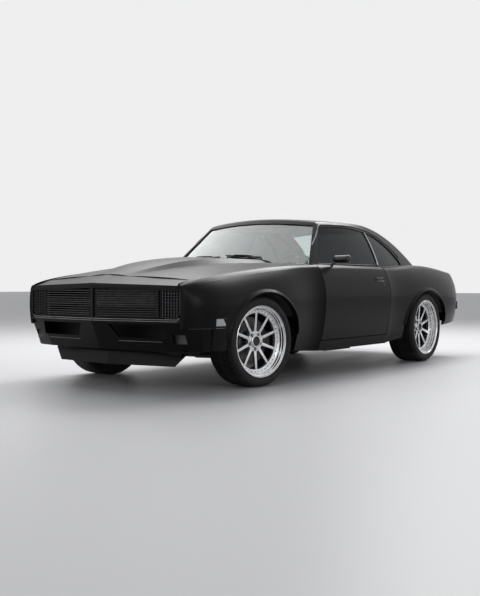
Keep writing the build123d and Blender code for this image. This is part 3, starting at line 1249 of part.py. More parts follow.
# --- rear axle: tube, differential, leaf springs, brake calipers and hub stubs ---
SPRING_X = REAR_FLOOR_HALF_WIDTH - 70
SPRING_WIDTH = 60
SPRING_THICKNESS = 30
SPRING_FRONT = (REAR_AXLE_Y - 441, 330)
SPRING_REAR = (REAR_AXLE_Y + 619, 345)
TUBE_RADIUS = 40
DIFFERENTIAL_RADIUS = 118
spring_low_z = TYRE_RADIUS - TUBE_RADIUS - SPRING_THICKNESS + 2
tube_end_x = WHEEL_X - 57
stub_end_x = WHEEL_X + 15
with BuildPart() as rear_axle:
    for end_x, radius in ((tube_end_x, TUBE_RADIUS), (stub_end_x, STUB_RADIUS)):
        with BuildSketch(along(-end_x)):
            with Locations((REAR_AXLE_Y, TYRE_RADIUS)):
                Circle(radius)
        extrude(amount=2 * end_x)
    with BuildSketch(across(REAR_AXLE_Y + 110)):
        with Locations((0, TYRE_RADIUS)):
            Circle(DIFFERENTIAL_RADIUS)
    extrude(amount=REAR_AXLE_Y + 110 - DIFFERENTIAL_FRONT_Y)
    for side in (-1, 1):
        with BuildSketch(along(side * SPRING_X - SPRING_WIDTH / 2)):
            with BuildLine():
                front_top = (SPRING_FRONT[0], SPRING_FRONT[1] + SPRING_THICKNESS)
                rear_top = (SPRING_REAR[0], SPRING_REAR[1] + SPRING_THICKNESS)
                ThreePointArc(SPRING_FRONT, (REAR_AXLE_Y, spring_low_z), SPRING_REAR)
                Line(SPRING_REAR, rear_top)
                ThreePointArc(rear_top, (REAR_AXLE_Y, spring_low_z + SPRING_THICKNESS), front_top)
                Line(front_top, SPRING_FRONT)
            make_face()
        extrude(amount=SPRING_WIDTH)
        for y, low in ((SPRING_FRONT[0] + 20, SPRING_FRONT[1] + 5), (SPRING_REAR[0] - 15, SPRING_REAR[1] + 5)):
            with Locations((side * SPRING_X, y, (low + REAR_FLOOR_Z) / 2)):
                Box(SPRING_WIDTH + 6, 44, REAR_FLOOR_Z - low)
        caliper_boxes(wheel_plane(side, REAR_AXLE_Y, 0), side)
keep(rear_axle.part, "rear_axle")
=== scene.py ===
import json
from math import atan2, cos, hypot, pi, radians, sin

import bmesh
import bpy
from mathutils import Matrix, Vector
from mathutils.bvhtree import BVHTree


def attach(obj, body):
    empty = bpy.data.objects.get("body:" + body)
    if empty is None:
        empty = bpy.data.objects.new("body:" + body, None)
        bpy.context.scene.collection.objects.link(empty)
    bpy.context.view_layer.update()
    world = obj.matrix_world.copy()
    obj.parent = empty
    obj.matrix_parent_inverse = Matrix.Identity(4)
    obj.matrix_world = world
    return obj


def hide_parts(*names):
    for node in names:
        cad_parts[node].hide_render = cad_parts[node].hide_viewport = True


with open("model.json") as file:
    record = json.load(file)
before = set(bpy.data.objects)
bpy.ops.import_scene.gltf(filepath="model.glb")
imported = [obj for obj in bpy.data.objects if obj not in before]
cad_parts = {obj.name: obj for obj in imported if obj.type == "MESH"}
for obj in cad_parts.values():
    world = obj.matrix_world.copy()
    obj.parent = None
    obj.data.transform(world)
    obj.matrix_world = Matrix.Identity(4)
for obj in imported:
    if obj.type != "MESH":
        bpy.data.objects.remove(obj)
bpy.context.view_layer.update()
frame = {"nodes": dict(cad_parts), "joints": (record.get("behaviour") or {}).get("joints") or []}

# The studio: a pale floor and a pale surround that show white to the camera, in gloss and through glass,
# lit from above and behind by two large soft panels and from the sides by two smaller ones.
PALE = (0.86, 0.86, 0.87, 1)
SURROUND_TINT = (0.8, 0.82, 0.85, 1)
SURROUND_LIGHT = 0.26
FLOOR_GREY = (0.60, 0.60, 0.61, 1)
FLOOR_ROUGHNESS = 0.42
FLOOR_HALF = 60
CAMERA_PLACE = (4.6476, -6.9015, 0.7535)
CAMERA_YAW = 0.6314
CAMERA_PITCH = -0.0161
CAMERA_LENS = 55.03


def empty_tree(owner):
    """The node tree of a material or world, with the default nodes taken out."""
    owner.use_nodes = True
    owner.node_tree.nodes.clear()
    return owner.node_tree


def add_node(tree, kind, inputs=None, operation=None, data_type=None, group=None):
    """Adds a node whose inputs are each given a value, or an output of another node to link to."""
    made = tree.nodes.new(kind)
    if operation:
        made.operation = operation
    if data_type:
        made.data_type = data_type
    if group:
        made.node_tree = group
    for name, value in (inputs or {}).items():
        if isinstance(value, bpy.types.NodeSocket):
            tree.links.new(value, made.inputs[name])
        else:
            made.inputs[name].default_value = value
    return made


floor_material = bpy.data.materials.new("studio_floor")
tree = empty_tree(floor_material)
floor_shader = add_node(
    tree, "ShaderNodeBsdfPrincipled", {"Base Color": FLOOR_GREY, "Roughness": FLOOR_ROUGHNESS},
)
add_node(tree, "ShaderNodeOutputMaterial", {"Surface": floor_shader.outputs[0]})
bm = bmesh.new()
bmesh.ops.create_grid(bm, x_segments=1, y_segments=1, size=FLOOR_HALF)
floor_mesh = bpy.data.meshes.new("studio_floor")
bm.to_mesh(floor_mesh)
bm.free()
floor_mesh.materials.append(floor_material)
floor = bpy.data.objects.new("studio_floor", floor_mesh)
bpy.context.scene.collection.objects.link(floor)

world = bpy.data.worlds.new("studio_surround")
bpy.context.scene.world = world
tree = empty_tree(world)
rays = add_node(tree, "ShaderNodeLightPath").outputs
direct = add_node(
    tree, "ShaderNodeMath", {0: rays["Is Camera Ray"], 1: rays["Is Glossy Ray"]}, operation="MAXIMUM",
)
seen = add_node(
    tree, "ShaderNodeMath", {0: direct.outputs[0], 1: rays["Is Transmission Ray"]}, operation="MAXIMUM",
)
lit = add_node(tree, "ShaderNodeBackground", {"Color": SURROUND_TINT, "Strength": SURROUND_LIGHT})
shown = add_node(tree, "ShaderNodeBackground", {"Color": PALE, "Strength": 1.0})
mix = add_node(tree, "ShaderNodeMixShader", {0: seen.outputs[0], 1: lit.outputs[0], 2: shown.outputs[0]})
add_node(tree, "ShaderNodeOutputWorld", {"Surface": mix.outputs[0]})


def soft_panel(name, place, aim, size, watts):
    """A rectangular area lamp pointed at `aim`."""
    lamp = bpy.data.lights.new(name, "AREA")
    lamp.shape = "RECTANGLE"
    lamp.size, lamp.size_y = size
    lamp.energy = watts
    panel = bpy.data.objects.new(name, lamp)
    panel.location = place
    panel.rotation_euler = (Vector(aim) - Vector(place)).to_track_quat("-Z", "Y").to_euler()
    bpy.context.scene.collection.objects.link(panel)


soft_panel("panel_overhead", (-2.8, 0.7, 4.8), (-1.6, 0.4, 0.8), (6.4, 5.6), 290)
soft_panel("panel_behind", (-0.3, 6.0, 6.2), (0.2, 0.4, 0.8), (4.4, 3.0), 420)
soft_panel("panel_camera_side", (7.5, -4.0, 2.6), (0.6, -0.6, 0.6), (3.0, 2.6), 60)
soft_panel("panel_nose", (-3.6, -7.0, 2.4), (0.0, -1.6, 0.5), (3.0, 2.4), 30)

camera_data = bpy.data.cameras.new("camera")
camera_data.lens = CAMERA_LENS
camera = bpy.data.objects.new("camera", camera_data)
camera.location = CAMERA_PLACE
camera.rotation_euler = (pi / 2 + CAMERA_PITCH, 0, CAMERA_YAW)
bpy.context.scene.collection.objects.link(camera)
bpy.context.scene.camera = camera
bpy.context.scene.view_settings.view_transform = "Standard"

# Body panels: pressed steel sprayed satin black. The paint has a fine orange peel, and road dust
# gathers low on the sides. The groups that mottle and dust a finish serve the later pieces too.
GREY = (0.5, 0.5, 0.5, 1)
DUST_ROUGHNESS = 0.85
RIB_STRENGTH = 0.7
SHADER_SOCKETS = {
    "metallic": "Metallic", "specular": "Specular IOR Level", "coat": "Coat Weight",
    "coat_roughness": "Coat Roughness", "clear": "Transmission Weight", "ior": "IOR",
}


def shader_group(name, inputs, outputs):
    """A new shader group with named sockets: a tuple is a colour, a number a float, None a vector."""
    group = bpy.data.node_groups.new(name, "ShaderNodeTree")
    for direction, sockets in (("INPUT", inputs), ("OUTPUT", outputs)):
        for label, value in sockets.items():
            kind = "Vector" if value is None else "Color" if isinstance(value, tuple) else "Float"
            socket = group.interface.new_socket(name=label, in_out=direction, socket_type="NodeSocket" + kind)
            if value is not None:
                socket.default_value = value
    return group, group.nodes.new("NodeGroupInput").outputs


def make_mottle():
    """Group: a finish whose colour and roughness drift a little, with fine grain as height."""
    group, given = shader_group("mottle", {
        "Color": GREY, "Second Color": (0.4, 0.4, 0.4, 1), "Roughness": 0.5, "Roughness Drift": 0.1,
        "Patch Scale": 6.0, "Grain Scale": 900.0, "Vector": None,
    }, {"Color": GREY, "Roughness": 0.5, "Height": 0.0})
    patches = add_node(group, "ShaderNodeTexNoise", {
        "Vector": given["Vector"], "Scale": given["Patch Scale"], "Detail": 4,
    })
    grain = add_node(group, "ShaderNodeTexNoise", {
        "Vector": given["Vector"], "Scale": given["Grain Scale"], "Detail": 2,
    })
    spread = add_node(group, "ShaderNodeMapRange", {
        "Value": patches.outputs["Fac"], "From Min": 0.35, "From Max": 0.68,
    }).outputs["Result"]
    colour = add_node(group, "ShaderNodeMix", {
        "Factor": spread, "A": given["Color"], "B": given["Second Color"],
    }, data_type="RGBA")
    rough = add_node(group, "ShaderNodeMath", {
        0: spread, 1: given["Roughness Drift"], 2: given["Roughness"],
    }, operation="MULTIPLY_ADD")
    add_node(group, "NodeGroupOutput", {
        "Color": colour.outputs["Result"], "Roughness": rough.outputs[0], "Height": grain.outputs["Fac"],
    })
    return group


def make_dust():
    """Group: a pale dust film that thickens towards the ground and in broken patches."""
    group, given = shader_group("road_dust", {
        "Color": GREY, "Roughness": 0.5, "Dust Color": (0.12, 0.115, 0.105, 1), "Top": 0.4, "Amount": 0.3,
        "Vector": None,
    }, {"Color": GREY, "Roughness": 0.5})
    split = add_node(group, "ShaderNodeSeparateXYZ", {0: given["Vector"]})
    fall = add_node(group, "ShaderNodeMapRange", {
        "Value": split.outputs["Z"], "From Min": given["Top"], "From Max": 0.08, "To Max": 1.0,
    })
    noise = add_node(group, "ShaderNodeTexNoise", {"Vector": given["Vector"], "Scale": 14, "Detail": 6})
    share = add_node(
        group, "ShaderNodeMath", {0: fall.outputs["Result"], 1: noise.outputs["Fac"]}, operation="MULTIPLY",
    )
    mask = add_node(
        group, "ShaderNodeMath", {0: share.outputs[0], 1: given["Amount"]}, operation="MULTIPLY",
    ).outputs[0]
    colour = add_node(
        group, "ShaderNodeMix", {"Factor": mask, "A": given["Color"], "B": given["Dust Color"]},
        data_type="RGBA",
    )
    rough = add_node(group, "ShaderNodeMix", {"Factor": mask, "A": given["Roughness"], "B": DUST_ROUGHNESS})
    add_node(group, "NodeGroupOutput", {
        "Color": colour.outputs["Result"], "Roughness": rough.outputs["Result"],
    })
    return group


MOTTLE = make_mottle()
DUST = make_dust()


def finish_material(name, colour, second, roughness, drift=0.08, patch=6.0, grain=900.0, depth=0.00002,
                    ribs=0.0, dust=0.0, dust_top=0.4, **shader_values):
    """A finish that drifts between two colours, its grain raised by `depth` metres.

    `ribs` is the scale of upright ribs that take the grain's place, and `dust` the amount of dust below
    the height `dust_top`. All other values go to the shader's own sockets.
    """
    material = bpy.data.materials.new(name)
    tree = empty_tree(material)
    place = add_node(tree, "ShaderNodeTexCoord").outputs["Object"]
    mottle = add_node(tree, "ShaderNodeGroup", {
        "Color": (*colour, 1), "Second Color": (*second, 1), "Roughness": roughness,
        "Roughness Drift": drift, "Patch Scale": patch, "Grain Scale": grain, "Vector": place,
    }, group=MOTTLE).outputs
    last = mottle
    if dust:
        last = add_node(tree, "ShaderNodeGroup", {
            "Color": mottle["Color"], "Roughness": mottle["Roughness"], "Top": dust_top, "Amount": dust,
            "Vector": place,
        }, group=DUST).outputs
    height = mottle["Height"]
    if ribs:
        wave = add_node(tree, "ShaderNodeTexWave", {"Scale": ribs, "Distortion": 0.0, "Vector": place})
        height = wave.outputs["Fac"]
    given = {SHADER_SOCKETS[word]: value for word, value in shader_values.items()}
    given |= {"Base Color": last["Color"], "Roughness": last["Roughness"]}
    if depth:
        strength = RIB_STRENGTH if ribs else 1.0
        bump = add_node(tree, "ShaderNodeBump", {"Strength": strength, "Distance": depth, "Height": height})
        given["Normal"] = bump.outputs[0]
    shader = add_node(tree, "ShaderNodeBsdfPrincipled", given)
    add_node(tree, "ShaderNodeOutputMaterial", {"Surface": shader.outputs[0]})
    return material


def paint_nodes(material, *names):
    """Gives CAD nodes their finish."""
    for name in names:
        mesh = frame["nodes"][name].data
        mesh.materials.clear()
        mesh.materials.append(material)


satin_black = finish_material(
    "satin_black_paint", (0.0040, 0.0042, 0.0047), (0.0056, 0.0058, 0.0064), 0.28, drift=0.05, patch=2.2,
    grain=700, depth=0.00003, dust=0.05, dust_top=0.42, specular=0.085, coat=0.03, coat_roughness=0.2,
)
paint_nodes(
    satin_black, "fenders", "door_left", "door_right", "rockers", "quarters", "hood", "header_panel",
    "front_valance", "roof", "rear_shelf", "deck_lid", "tail_panel", "rear_bumper",
)

# Floor, inner fenders and underbody: pressed and welded steel in satin chassis black with more road dust.
chassis_black = finish_material(
    "chassis_black", (0.022, 0.022, 0.023), (0.034, 0.033, 0.032), 0.5, drift=0.2, patch=9, dust=0.7,
    dust_top=0.5,
)
carpet_black = finish_material(
    "carpet_and_floor_paint", (0.017, 0.017, 0.018), (0.028, 0.028, 0.029), 0.85, drift=0.1, patch=40,
    grain=420, depth=0.0012,
)
paint_nodes(
    chassis_black, "front_subframe", "rear_axle", "driveline", "inner_fenders", "cowl_panel", "fuel_tank",
)
paint_nodes(carpet_black, "floor_pan")


# Wheels: three-piece alloy wheels with a polished stepped lip, a ring of small bolts, and a forged centre of
# ten slender spokes that rise from a dished hub with five lug nuts. The hub's bore, the rim's inner barrel, a
# ring round each lug nut and the brake disc's drilled holes are black: painted shade.
WHEEL_LIP = {"front": 0.118, "rear": 0.128}
LIP_RADIUS = 0.262
BARREL_RADIUS = 0.236
WELL_RADIUS = 0.250
SHADED_RADIUS = 0.2352
SPIN_STEPS = 120
# the rim's section from its inner lip round the tyre's seat to the stepped outer lip, then back along its
# throat, as (inset from a lip, radius)
INNER_RIM = (
    (0.0, 0.256), (0.0, LIP_RADIUS), (0.006, LIP_RADIUS), (0.010, WELL_RADIUS), (0.046, WELL_RADIUS),
    (0.058, BARREL_RADIUS),
)
OUTER_RIM = (
    (0.058, BARREL_RADIUS), (0.046, WELL_RADIUS), (0.010, WELL_RADIUS), (0.006, LIP_RADIUS),
    (0.001, LIP_RADIUS), (0.0, 0.2605), (0.0, 0.2575), (0.002, 0.2555), (0.008, 0.2535), (0.010, 0.2470),
    (0.026, 0.2455), (0.028, 0.2415), (0.044, 0.2385), (0.047, 0.2350),
)
INNER_THROAT = ((0.054, 0.2300), (0.040, 0.243), (0.006, 0.244))

SPOKE_COUNT = 10
SPOKE_ROOT = 0.084
SPOKE_TIP = 0.214
SPOKE_WIDTH = 0.0132
SPOKE_DEPTH = 0.026
SPOKE_OVERRUN = 0.016
FLANGE_RADIUS = 0.234
WINDOW_RADIUS = 0.206
STAR_RADIUS = 0.074
STAR_LOBE = 0.018
STAR_FACE = 0.050
STAR_DEPTH = 0.030
BORE = 0.036

LUGS = 5
LUG_CIRCLE = 0.057
RING_BOLTS = 40
RING_BOLT_CIRCLE = 0.2225
DISC_RADIUS = 0.1775
DISC_FACES = (-0.0349, -0.0072)
DISC_HOLE_CIRCLES = (0.128, 0.145, 0.162)
DISC_HOLE_ROWS = 36


def piece(bm, name, body, slot, *materials, sharp=32, outward=False):
    """Makes a finished bmesh a piece that rides on a body; edges steeper than `sharp` degrees stay crisp.

    `outward` turns the faces of its closed shapes out first.
    """
    if outward:
        bmesh.ops.recalc_face_normals(bm, faces=bm.faces)
    mesh = bpy.data.meshes.new(name)
    bm.to_mesh(mesh)
    bm.free()
    for material in materials:
        mesh.materials.append(material)
    mesh.shade_smooth()
    mesh.set_sharp_from_angle(angle=radians(sharp))
    made = bpy.data.objects.new(name, mesh)
    bpy.context.scene.collection.objects.link(made)
    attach(made, body)
    return made


def spun(bm, profile, closed=True, steps=SPIN_STEPS, material=0):
    """Spins (along, radius) points round the X axis and returns the vertices."""
    before = set(bm.faces)
    ring = [bm.verts.new((along, 0, radius)) for along, radius in profile]
    edges = [bm.edges.new(pair) for pair in zip(ring, ring[1:])]
    if closed:
        edges.append(bm.edges.new((ring[-1], ring[0])))
    bmesh.ops.spin(
        bm, geom=ring + edges, cent=(0, 0, 0), axis=(1, 0, 0), angle=2 * pi, steps=steps, use_merge=True,
    )
    faces = [face for face in bm.faces if face not in before]
    bmesh.ops.recalc_face_normals(bm, faces=faces)
    for face in faces:
        face.material_index = material
    return list({vert for face in faces for vert in face.verts})


def finish_faces(made, material):
    """Gives the faces of these vertices one of the piece's materials, and returns the vertices."""
    for face in {face for vert in made for face in vert.link_faces}:
        face.material_index = material
    return made


def edges_at(made):
    """The edges at these vertices, each once."""
    return list(dict.fromkeys(edge for vert in made for edge in vert.link_edges))


def block(bm, size, place, turn=None, bevel=0.0, segments=2, material=0):
    """A bevelled block of `size` at `place`, turned by a matrix first; returns its vertices."""
    made = bmesh.ops.create_cube(bm, size=1)["verts"]
    bmesh.ops.scale(bm, vec=size, verts=made)
    if bevel:
        shaped = bmesh.ops.bevel(
            bm, geom=edges_at(made), offset=bevel, segments=segments, profile=0.5, affect="EDGES",
            material=-1, clamp_overlap=True,
        )
        made = [vert for vert in made if vert.is_valid]
        made = list({vert for face in shaped["faces"] for vert in face.verts}.union(made))
    if turn is not None:
        bmesh.ops.transform(bm, matrix=turn, verts=made)
    bmesh.ops.translate(bm, vec=place, verts=made)
    return finish_faces(made, material)


STUD_TURNS = {
    "X": Matrix.Rotation(pi / 2, 4, "Y"), "Y": Matrix.Rotation(-pi / 2, 4, "X"), "Z": Matrix.Identity(4),
}


def stud(bm, radius, length, place, axis="X", sides=12, top=1.0, material=0):
    """A short closed cylinder along +axis from `place`; `top` tapers its far end."""
    made = bmesh.ops.create_cone(
        bm, cap_ends=True, segments=sides, radius1=radius, radius2=radius * top, depth=length,
    )["verts"]
    bmesh.ops.translate(bm, vec=(0, 0, length / 2), verts=made)
    bmesh.ops.transform(bm, matrix=STUD_TURNS[axis], verts=made)
    bmesh.ops.translate(bm, vec=place, verts=made)
    return finish_faces(made, material)


def ring_turn(index, count, axis="X"):
    """The turn to one of `count` even places round an axis."""
    return Matrix.Rotation(index * 2 * pi / count, 4, axis)


def wheel_centre(bm):
    """The spoked centre in the wheel's own frame: +X out of the car."""
    star = bmesh.ops.create_circle(bm, cap_ends=True, radius=1, segments=120)["verts"]
    for vert in star:
        angle = atan2(vert.co.y, vert.co.x)
        lobe = (0.5 + 0.5 * cos(SPOKE_COUNT * angle)) ** 2
        vert.co *= STAR_RADIUS + STAR_LOBE * lobe
    bmesh.ops.transform(bm, matrix=STUD_TURNS["X"], verts=star)
    bmesh.ops.translate(bm, vec=(STAR_FACE, 0, 0), verts=star)
    caps = list({face for vert in star for face in vert.link_faces})
    lifted = bmesh.ops.extrude_face_region(bm, geom=caps, use_keep_orig=True)["geom"]
    raised = [item for item in lifted if isinstance(item, bmesh.types.BMVert)]
    bmesh.ops.translate(bm, vec=(-STAR_DEPTH, 0, 0), verts=raised)
    shell = list({face for vert in star + raised for face in vert.link_faces})
    bmesh.ops.recalc_face_normals(bm, faces=shell)
    spun(bm, ((0.051, BORE), (0.051, 0.048), (0.059, 0.046), (0.062, 0.042), (0.062, BORE)), steps=48)
    # a black disc closes the hub's bore: painted shade of the hole
    cap = ((0.0505, 0.0), (0.0505, BORE), (0.054, BORE), (0.054, 0.0))
    spun(bm, cap, closed=False, steps=48, material=2)
    spoke_length = SPOKE_TIP - SPOKE_ROOT + SPOKE_OVERRUN
    for index in range(SPOKE_COUNT):
        spoke = block(bm, (SPOKE_DEPTH, SPOKE_WIDTH, spoke_length), (0, 0, 0), bevel=0.0022)
        for vert in spoke:
            along = vert.co.z / spoke_length + 0.5
            waist = 1.9 - 3.4 * along + 2.9 * along ** 2
            vert.co.y *= waist
            vert.co.x = vert.co.x * (1.15 - 0.25 * along) + 0.036 + 0.016 * along ** 1.6
            vert.co.z += (SPOKE_TIP + SPOKE_ROOT) / 2
        bmesh.ops.transform(bm, matrix=ring_turn(index, SPOKE_COUNT), verts=spoke)
    for index in range(LUGS):
        foot = (STAR_FACE - 0.0005, 0, LUG_CIRCLE)
        # the black ring under each nut is painted shade of its seat
        lug = stud(bm, 0.0125, 0.0022, foot, sides=20, material=2)
        lug += stud(bm, 0.0092, 0.011, foot, sides=6, top=0.86, material=3)
        bmesh.ops.transform(bm, matrix=ring_turn(index + 0.5, LUGS), verts=lug)


def wheel_mesh(lip):
    """Rim, centre, bolts and brake disc of one wheel, in the wheel's own frame."""
    bm = bmesh.new()
    spun(bm, (
        *((inset - lip, radius) for inset, radius in INNER_RIM),
        *((lip - inset, radius) for inset, radius in OUTER_RIM), (0.068, 0.2320), (0.0, 0.2300),
        *((inset - lip, radius) for inset, radius in INNER_THROAT),
    ), material=1)
    # faces inboard of the rim's middle, and those inside SHADED_RADIUS, take the black: painted shade of the
    # rim's inner barrel
    for face in bm.faces:
        middle = face.calc_center_median()
        if middle.x < -0.02 or (middle.x < 0.066 and hypot(middle.y, middle.z) < SHADED_RADIUS):
            face.material_index = 2
    spun(bm, (
        (0.058, WINDOW_RADIUS), (0.063, WINDOW_RADIUS + 0.004), (0.068, FLANGE_RADIUS - 0.005),
        (0.068, FLANGE_RADIUS), (0.040, FLANGE_RADIUS), (0.034, WINDOW_RADIUS + 0.008),
        (0.036, WINDOW_RADIUS),
    ))
    for index in range(RING_BOLTS):
        bolt = stud(bm, 0.0042, 0.006, (0.0650, 0, RING_BOLT_CIRCLE), top=0.9, material=3)
        bmesh.ops.transform(bm, matrix=ring_turn(index + 0.5, RING_BOLTS), verts=bolt)
    wheel_centre(bm)
    back, front = DISC_FACES
    spun(bm, (
        (back, 0.034), (back, 0.062), (back, 0.112), (back, DISC_RADIUS), (-0.0255, DISC_RADIUS),
        (-0.0255, 0.170), (-0.0165, 0.170), (-0.0165, DISC_RADIUS), (front, DISC_RADIUS), (front, 0.112),
        (-0.0015, 0.104), (-0.0015, 0.071), (0.030, 0.066), (0.030, 0.034),
    ), material=4)
    # each drilled hole is a black dot: painted shade
    for index in range(DISC_HOLE_ROWS):
        for ring, radius in enumerate(DISC_HOLE_CIRCLES):
            hole = stud(bm, 0.0034, 0.0006, (front, 0, radius), sides=8, material=5)
            turn = ring_turn(index + ring / len(DISC_HOLE_CIRCLES), DISC_HOLE_ROWS)
            bmesh.ops.transform(bm, matrix=turn, verts=hole)
    stud(bm, 0.0044, 0.030, (STAR_FACE, 0.0, 0.2330), sides=10, top=0.7, material=5)
    return bm


forged_silver = finish_material(
    "forged_silver", (0.74, 0.75, 0.76), (0.6068, 0.615, 0.6232), 0.24, patch=24, grain=1400, depth=0.00003,
    metallic=1.0,
)
polished_lip = finish_material(
    "polished_lip", (0.80, 0.80, 0.81), (0.656, 0.656, 0.6642), 0.13, patch=24, grain=900, depth=0.00003,
    metallic=1.0,
)
painted_shade_and_valve_black = finish_material("painted_shade_and_valve_black", (0.012, 0.012, 0.012), (0.02, 0.02, 0.02), 0.5)
zinc_bolt = finish_material(
    "zinc_bolt", (0.42, 0.42, 0.42), (0.30, 0.30, 0.30), 0.34, patch=200, metallic=1.0,
)
disc_steel = finish_material(
    "disc_steel", (0.11, 0.11, 0.11), (0.07, 0.068, 0.065), 0.38, drift=0.2, patch=30, grain=1200,
    metallic=1.0,
)

axle_frames = {}
for joint in frame["joints"]:
    if joint["name"].startswith("spin_"):
        _, end, side = joint["name"].split("_")
        out = Vector(joint["axis"]) * (1 if side == "left" else -1)
        steer = Matrix.Rotation(atan2(out.y, out.x), 4, "Z")
        axle_frames[end, side] = Matrix.Translation(joint["pos_m"]) @ steer
for (end, side), place in axle_frames.items():
    bm = wheel_mesh(WHEEL_LIP[end])
    bmesh.ops.transform(bm, matrix=place, verts=bm.verts)
    name = f"wheel_{end}_{side}"
    wheel = piece(
        bm, f"alloy_{name}", name, "wheel_alloy", forged_silver, polished_lip, painted_shade_and_valve_black, zinc_bolt,
        disc_steel, painted_shade_and_valve_black,
    )
    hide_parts(name)

# Tyres: wide low-profile radials. The carcass is spun, the tread's blocks are raised between four ring
# grooves and cross grooves, and the sidewall has a rim guard and fine moulded ribs.
TYRE_RADIUS = 0.330
TREAD_START = 0.3205
TREAD_DEPTH = 0.006
SHOULDER_DEPTH = 0.0015
TYRE_HALF = {"front": 0.125, "rear": 0.135}
TYRE_STEPS = 288
TREAD_GROUP = 6
# (inset from the widest place, radius) from the bead to the shoulder, and the insets of the grooves' edges
SIDEWALL = (
    (0.0180, 0.2505), (0.0176, 0.2600), (0.0078, 0.2640), (0.0030, 0.2700), (0.0042, 0.2730),
    (0.0012, 0.2800), (0.0, 0.2920), (0.0012, 0.3020), (0.0034, 0.3090), (0.0024, 0.3100),
    (0.0060, 0.3160), (0.0125, 0.3195),
)
GROOVE_INSETS = (0.0260, 0.0560, 0.0625, 0.0910, 0.0975)


def tyre_mesh(half):
    """One tyre in the wheel's own frame, with its tread blocks raised."""
    bm = bmesh.new()
    floor_radius = TYRE_RADIUS - TREAD_DEPTH
    ribs = [half - inset for inset in GROOVE_INSETS]
    ribs += [-x for x in reversed(ribs)]
    side = [(half - inset, radius) for inset, radius in SIDEWALL]
    profile = side + [(x, floor_radius) for x in ribs] + [(-x, radius) for x, radius in reversed(side)]
    spun(bm, profile, steps=TYRE_STEPS)
    bands = [(ribs[0], side[-1][0]), (ribs[1], ribs[0]), (ribs[3], ribs[2])]
    bands += [(-high, -low) for low, high in bands] + [(ribs[5], ribs[4])]
    blocks = []
    for face in bm.faces:
        centre = face.calc_center_median()
        if hypot(centre.y, centre.z) < TREAD_START:
            continue
        step = int((atan2(centre.y, centre.z) / (2 * pi) + 0.5) * TYRE_STEPS + 0.5)
        middle = abs(centre.x) < ribs[3]
        for number, (low, high) in enumerate(bands):
            if low < centre.x < high and (middle or (step + 3 * number) % TREAD_GROUP):
                blocks.append(face)
    raised = bmesh.ops.extrude_face_region(bm, geom=blocks)["geom"]
    for vert in (item for item in raised if isinstance(item, bmesh.types.BMVert)):
        radius = hypot(vert.co.y, vert.co.z)
        shoulder = abs(vert.co.x) >= half - 0.02
        lift = SHOULDER_DEPTH if shoulder else min(TREAD_DEPTH, TYRE_RADIUS - radius)
        vert.co.y *= (radius + lift) / radius
        vert.co.z *= (radius + lift) / radius
    bmesh.ops.delete(bm, geom=blocks, context="FACES_ONLY")
    return bm


tyre_rubber = finish_material(
    "tyre_rubber", (0.0075, 0.0075, 0.0078), (0.012, 0.012, 0.0124), 0.6, drift=0.14, patch=26, grain=1500,
    depth=0.00012, dust=0.25, dust_top=0.10, specular=0.3,
)
for (end, side), place in axle_frames.items():
    bm = tyre_mesh(TYRE_HALF[end])
    bmesh.ops.transform(bm, matrix=place, verts=bm.verts)
    wheel = f"wheel_{end}_{side}"
    tyre = piece(bm, f"radial_tyre_{end}_{side}", wheel, "tyre_rubber", tyre_rubber, sharp=24)
    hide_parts(f"tyre_{end}_{side}")
# Glazing: laminated windshield and tempered rear window with a faint green tint, and dark tinted side panes.
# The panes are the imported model's own; each sits in a black rubber seal drawn round its edge.
clear_glass = finish_material(
    "laminated_glass", (0.66, 0.74, 0.72), (0.6204, 0.6956, 0.6768), 0.01, drift=0.012, patch=3, grain=5,
    depth=0, clear=1.0, ior=1.45,
)
tinted_glass = finish_material(
    "tinted_glass", (0.022, 0.024, 0.026), (0.02068, 0.02256, 0.02444), 0.01, drift=0.012, patch=3, grain=5,
    depth=0, clear=1.0, ior=1.2,
)
paint_nodes(clear_glass, "windshield", "rear_window")
paint_nodes(tinted_glass, "door_glass_left", "door_glass_right", "quarter_glass")


# Seals and trim of the cabin: extruded black rubber round every pane, bright strips between the side panes,
# worn strips on the drip rails, and rubber strips along the door tops. All are pressed onto the steel.
SEAL_RADIUS = 0.0065
SEAL_SPACING = 0.02
CABIN_MIDDLE = Vector((0, 0.3, 0.7))
OUTER_FACING = 0.45


def bar(bm, points, radius, closed=False, sides=8, material=0):
    """Adds a round bar along a polyline; its ends are capped unless it is a loop. Returns its vertices."""
    curve = bpy.data.curves.new("bar", "CURVE")
    curve.dimensions = "3D"
    curve.bevel_depth = radius
    curve.bevel_resolution = (sides - 4) // 2
    curve.use_fill_caps = not closed
    spline = curve.splines.new("POLY")
    spline.points.add(len(points) - 1)
    for point, place in zip(spline.points, points):
        point.co = (*place, 1)
    spline.use_cyclic_u = closed
    drawn = bpy.data.objects.new("bar", curve)
    known = set(bm.verts)
    bm.from_mesh(drawn.to_mesh())
    drawn.to_mesh_clear()
    bpy.data.objects.remove(drawn)
    bpy.data.curves.remove(curve)
    made = [vert for vert in bm.verts if vert not in known]
    bmesh.ops.remove_doubles(bm, verts=made, dist=1e-6)
    made = [vert for vert in bm.verts if vert not in known]
    faces = list({face for vert in made for face in vert.link_faces})
    bmesh.ops.recalc_face_normals(bm, faces=faces)
    return finish_faces(made, material)


def surface_of(name):
    """A CAD node's surface in the car's frame, welded, as a bmesh."""
    node = frame["nodes"][name]
    bm = bmesh.new()
    bm.from_mesh(node.data)
    bm.transform(node.matrix_world)
    bmesh.ops.remove_doubles(bm, verts=bm.verts, dist=1e-5)
    return bm


def smooth_loop(points, spacing):
    """The closed polyline's points taken again at an even spacing."""
    loop = points + [points[0]]
    taken = [points[0]]
    left = spacing
    for start, end in zip(loop, loop[1:]):
        length = (end - start).length
        while length > left:
            start = start.lerp(end, left / length)
            taken.append(start)
            length = (end - start).length
            left = spacing
        left -= length
    return taken[:-1] if (taken[-1] - taken[0]).length < spacing / 2 else taken


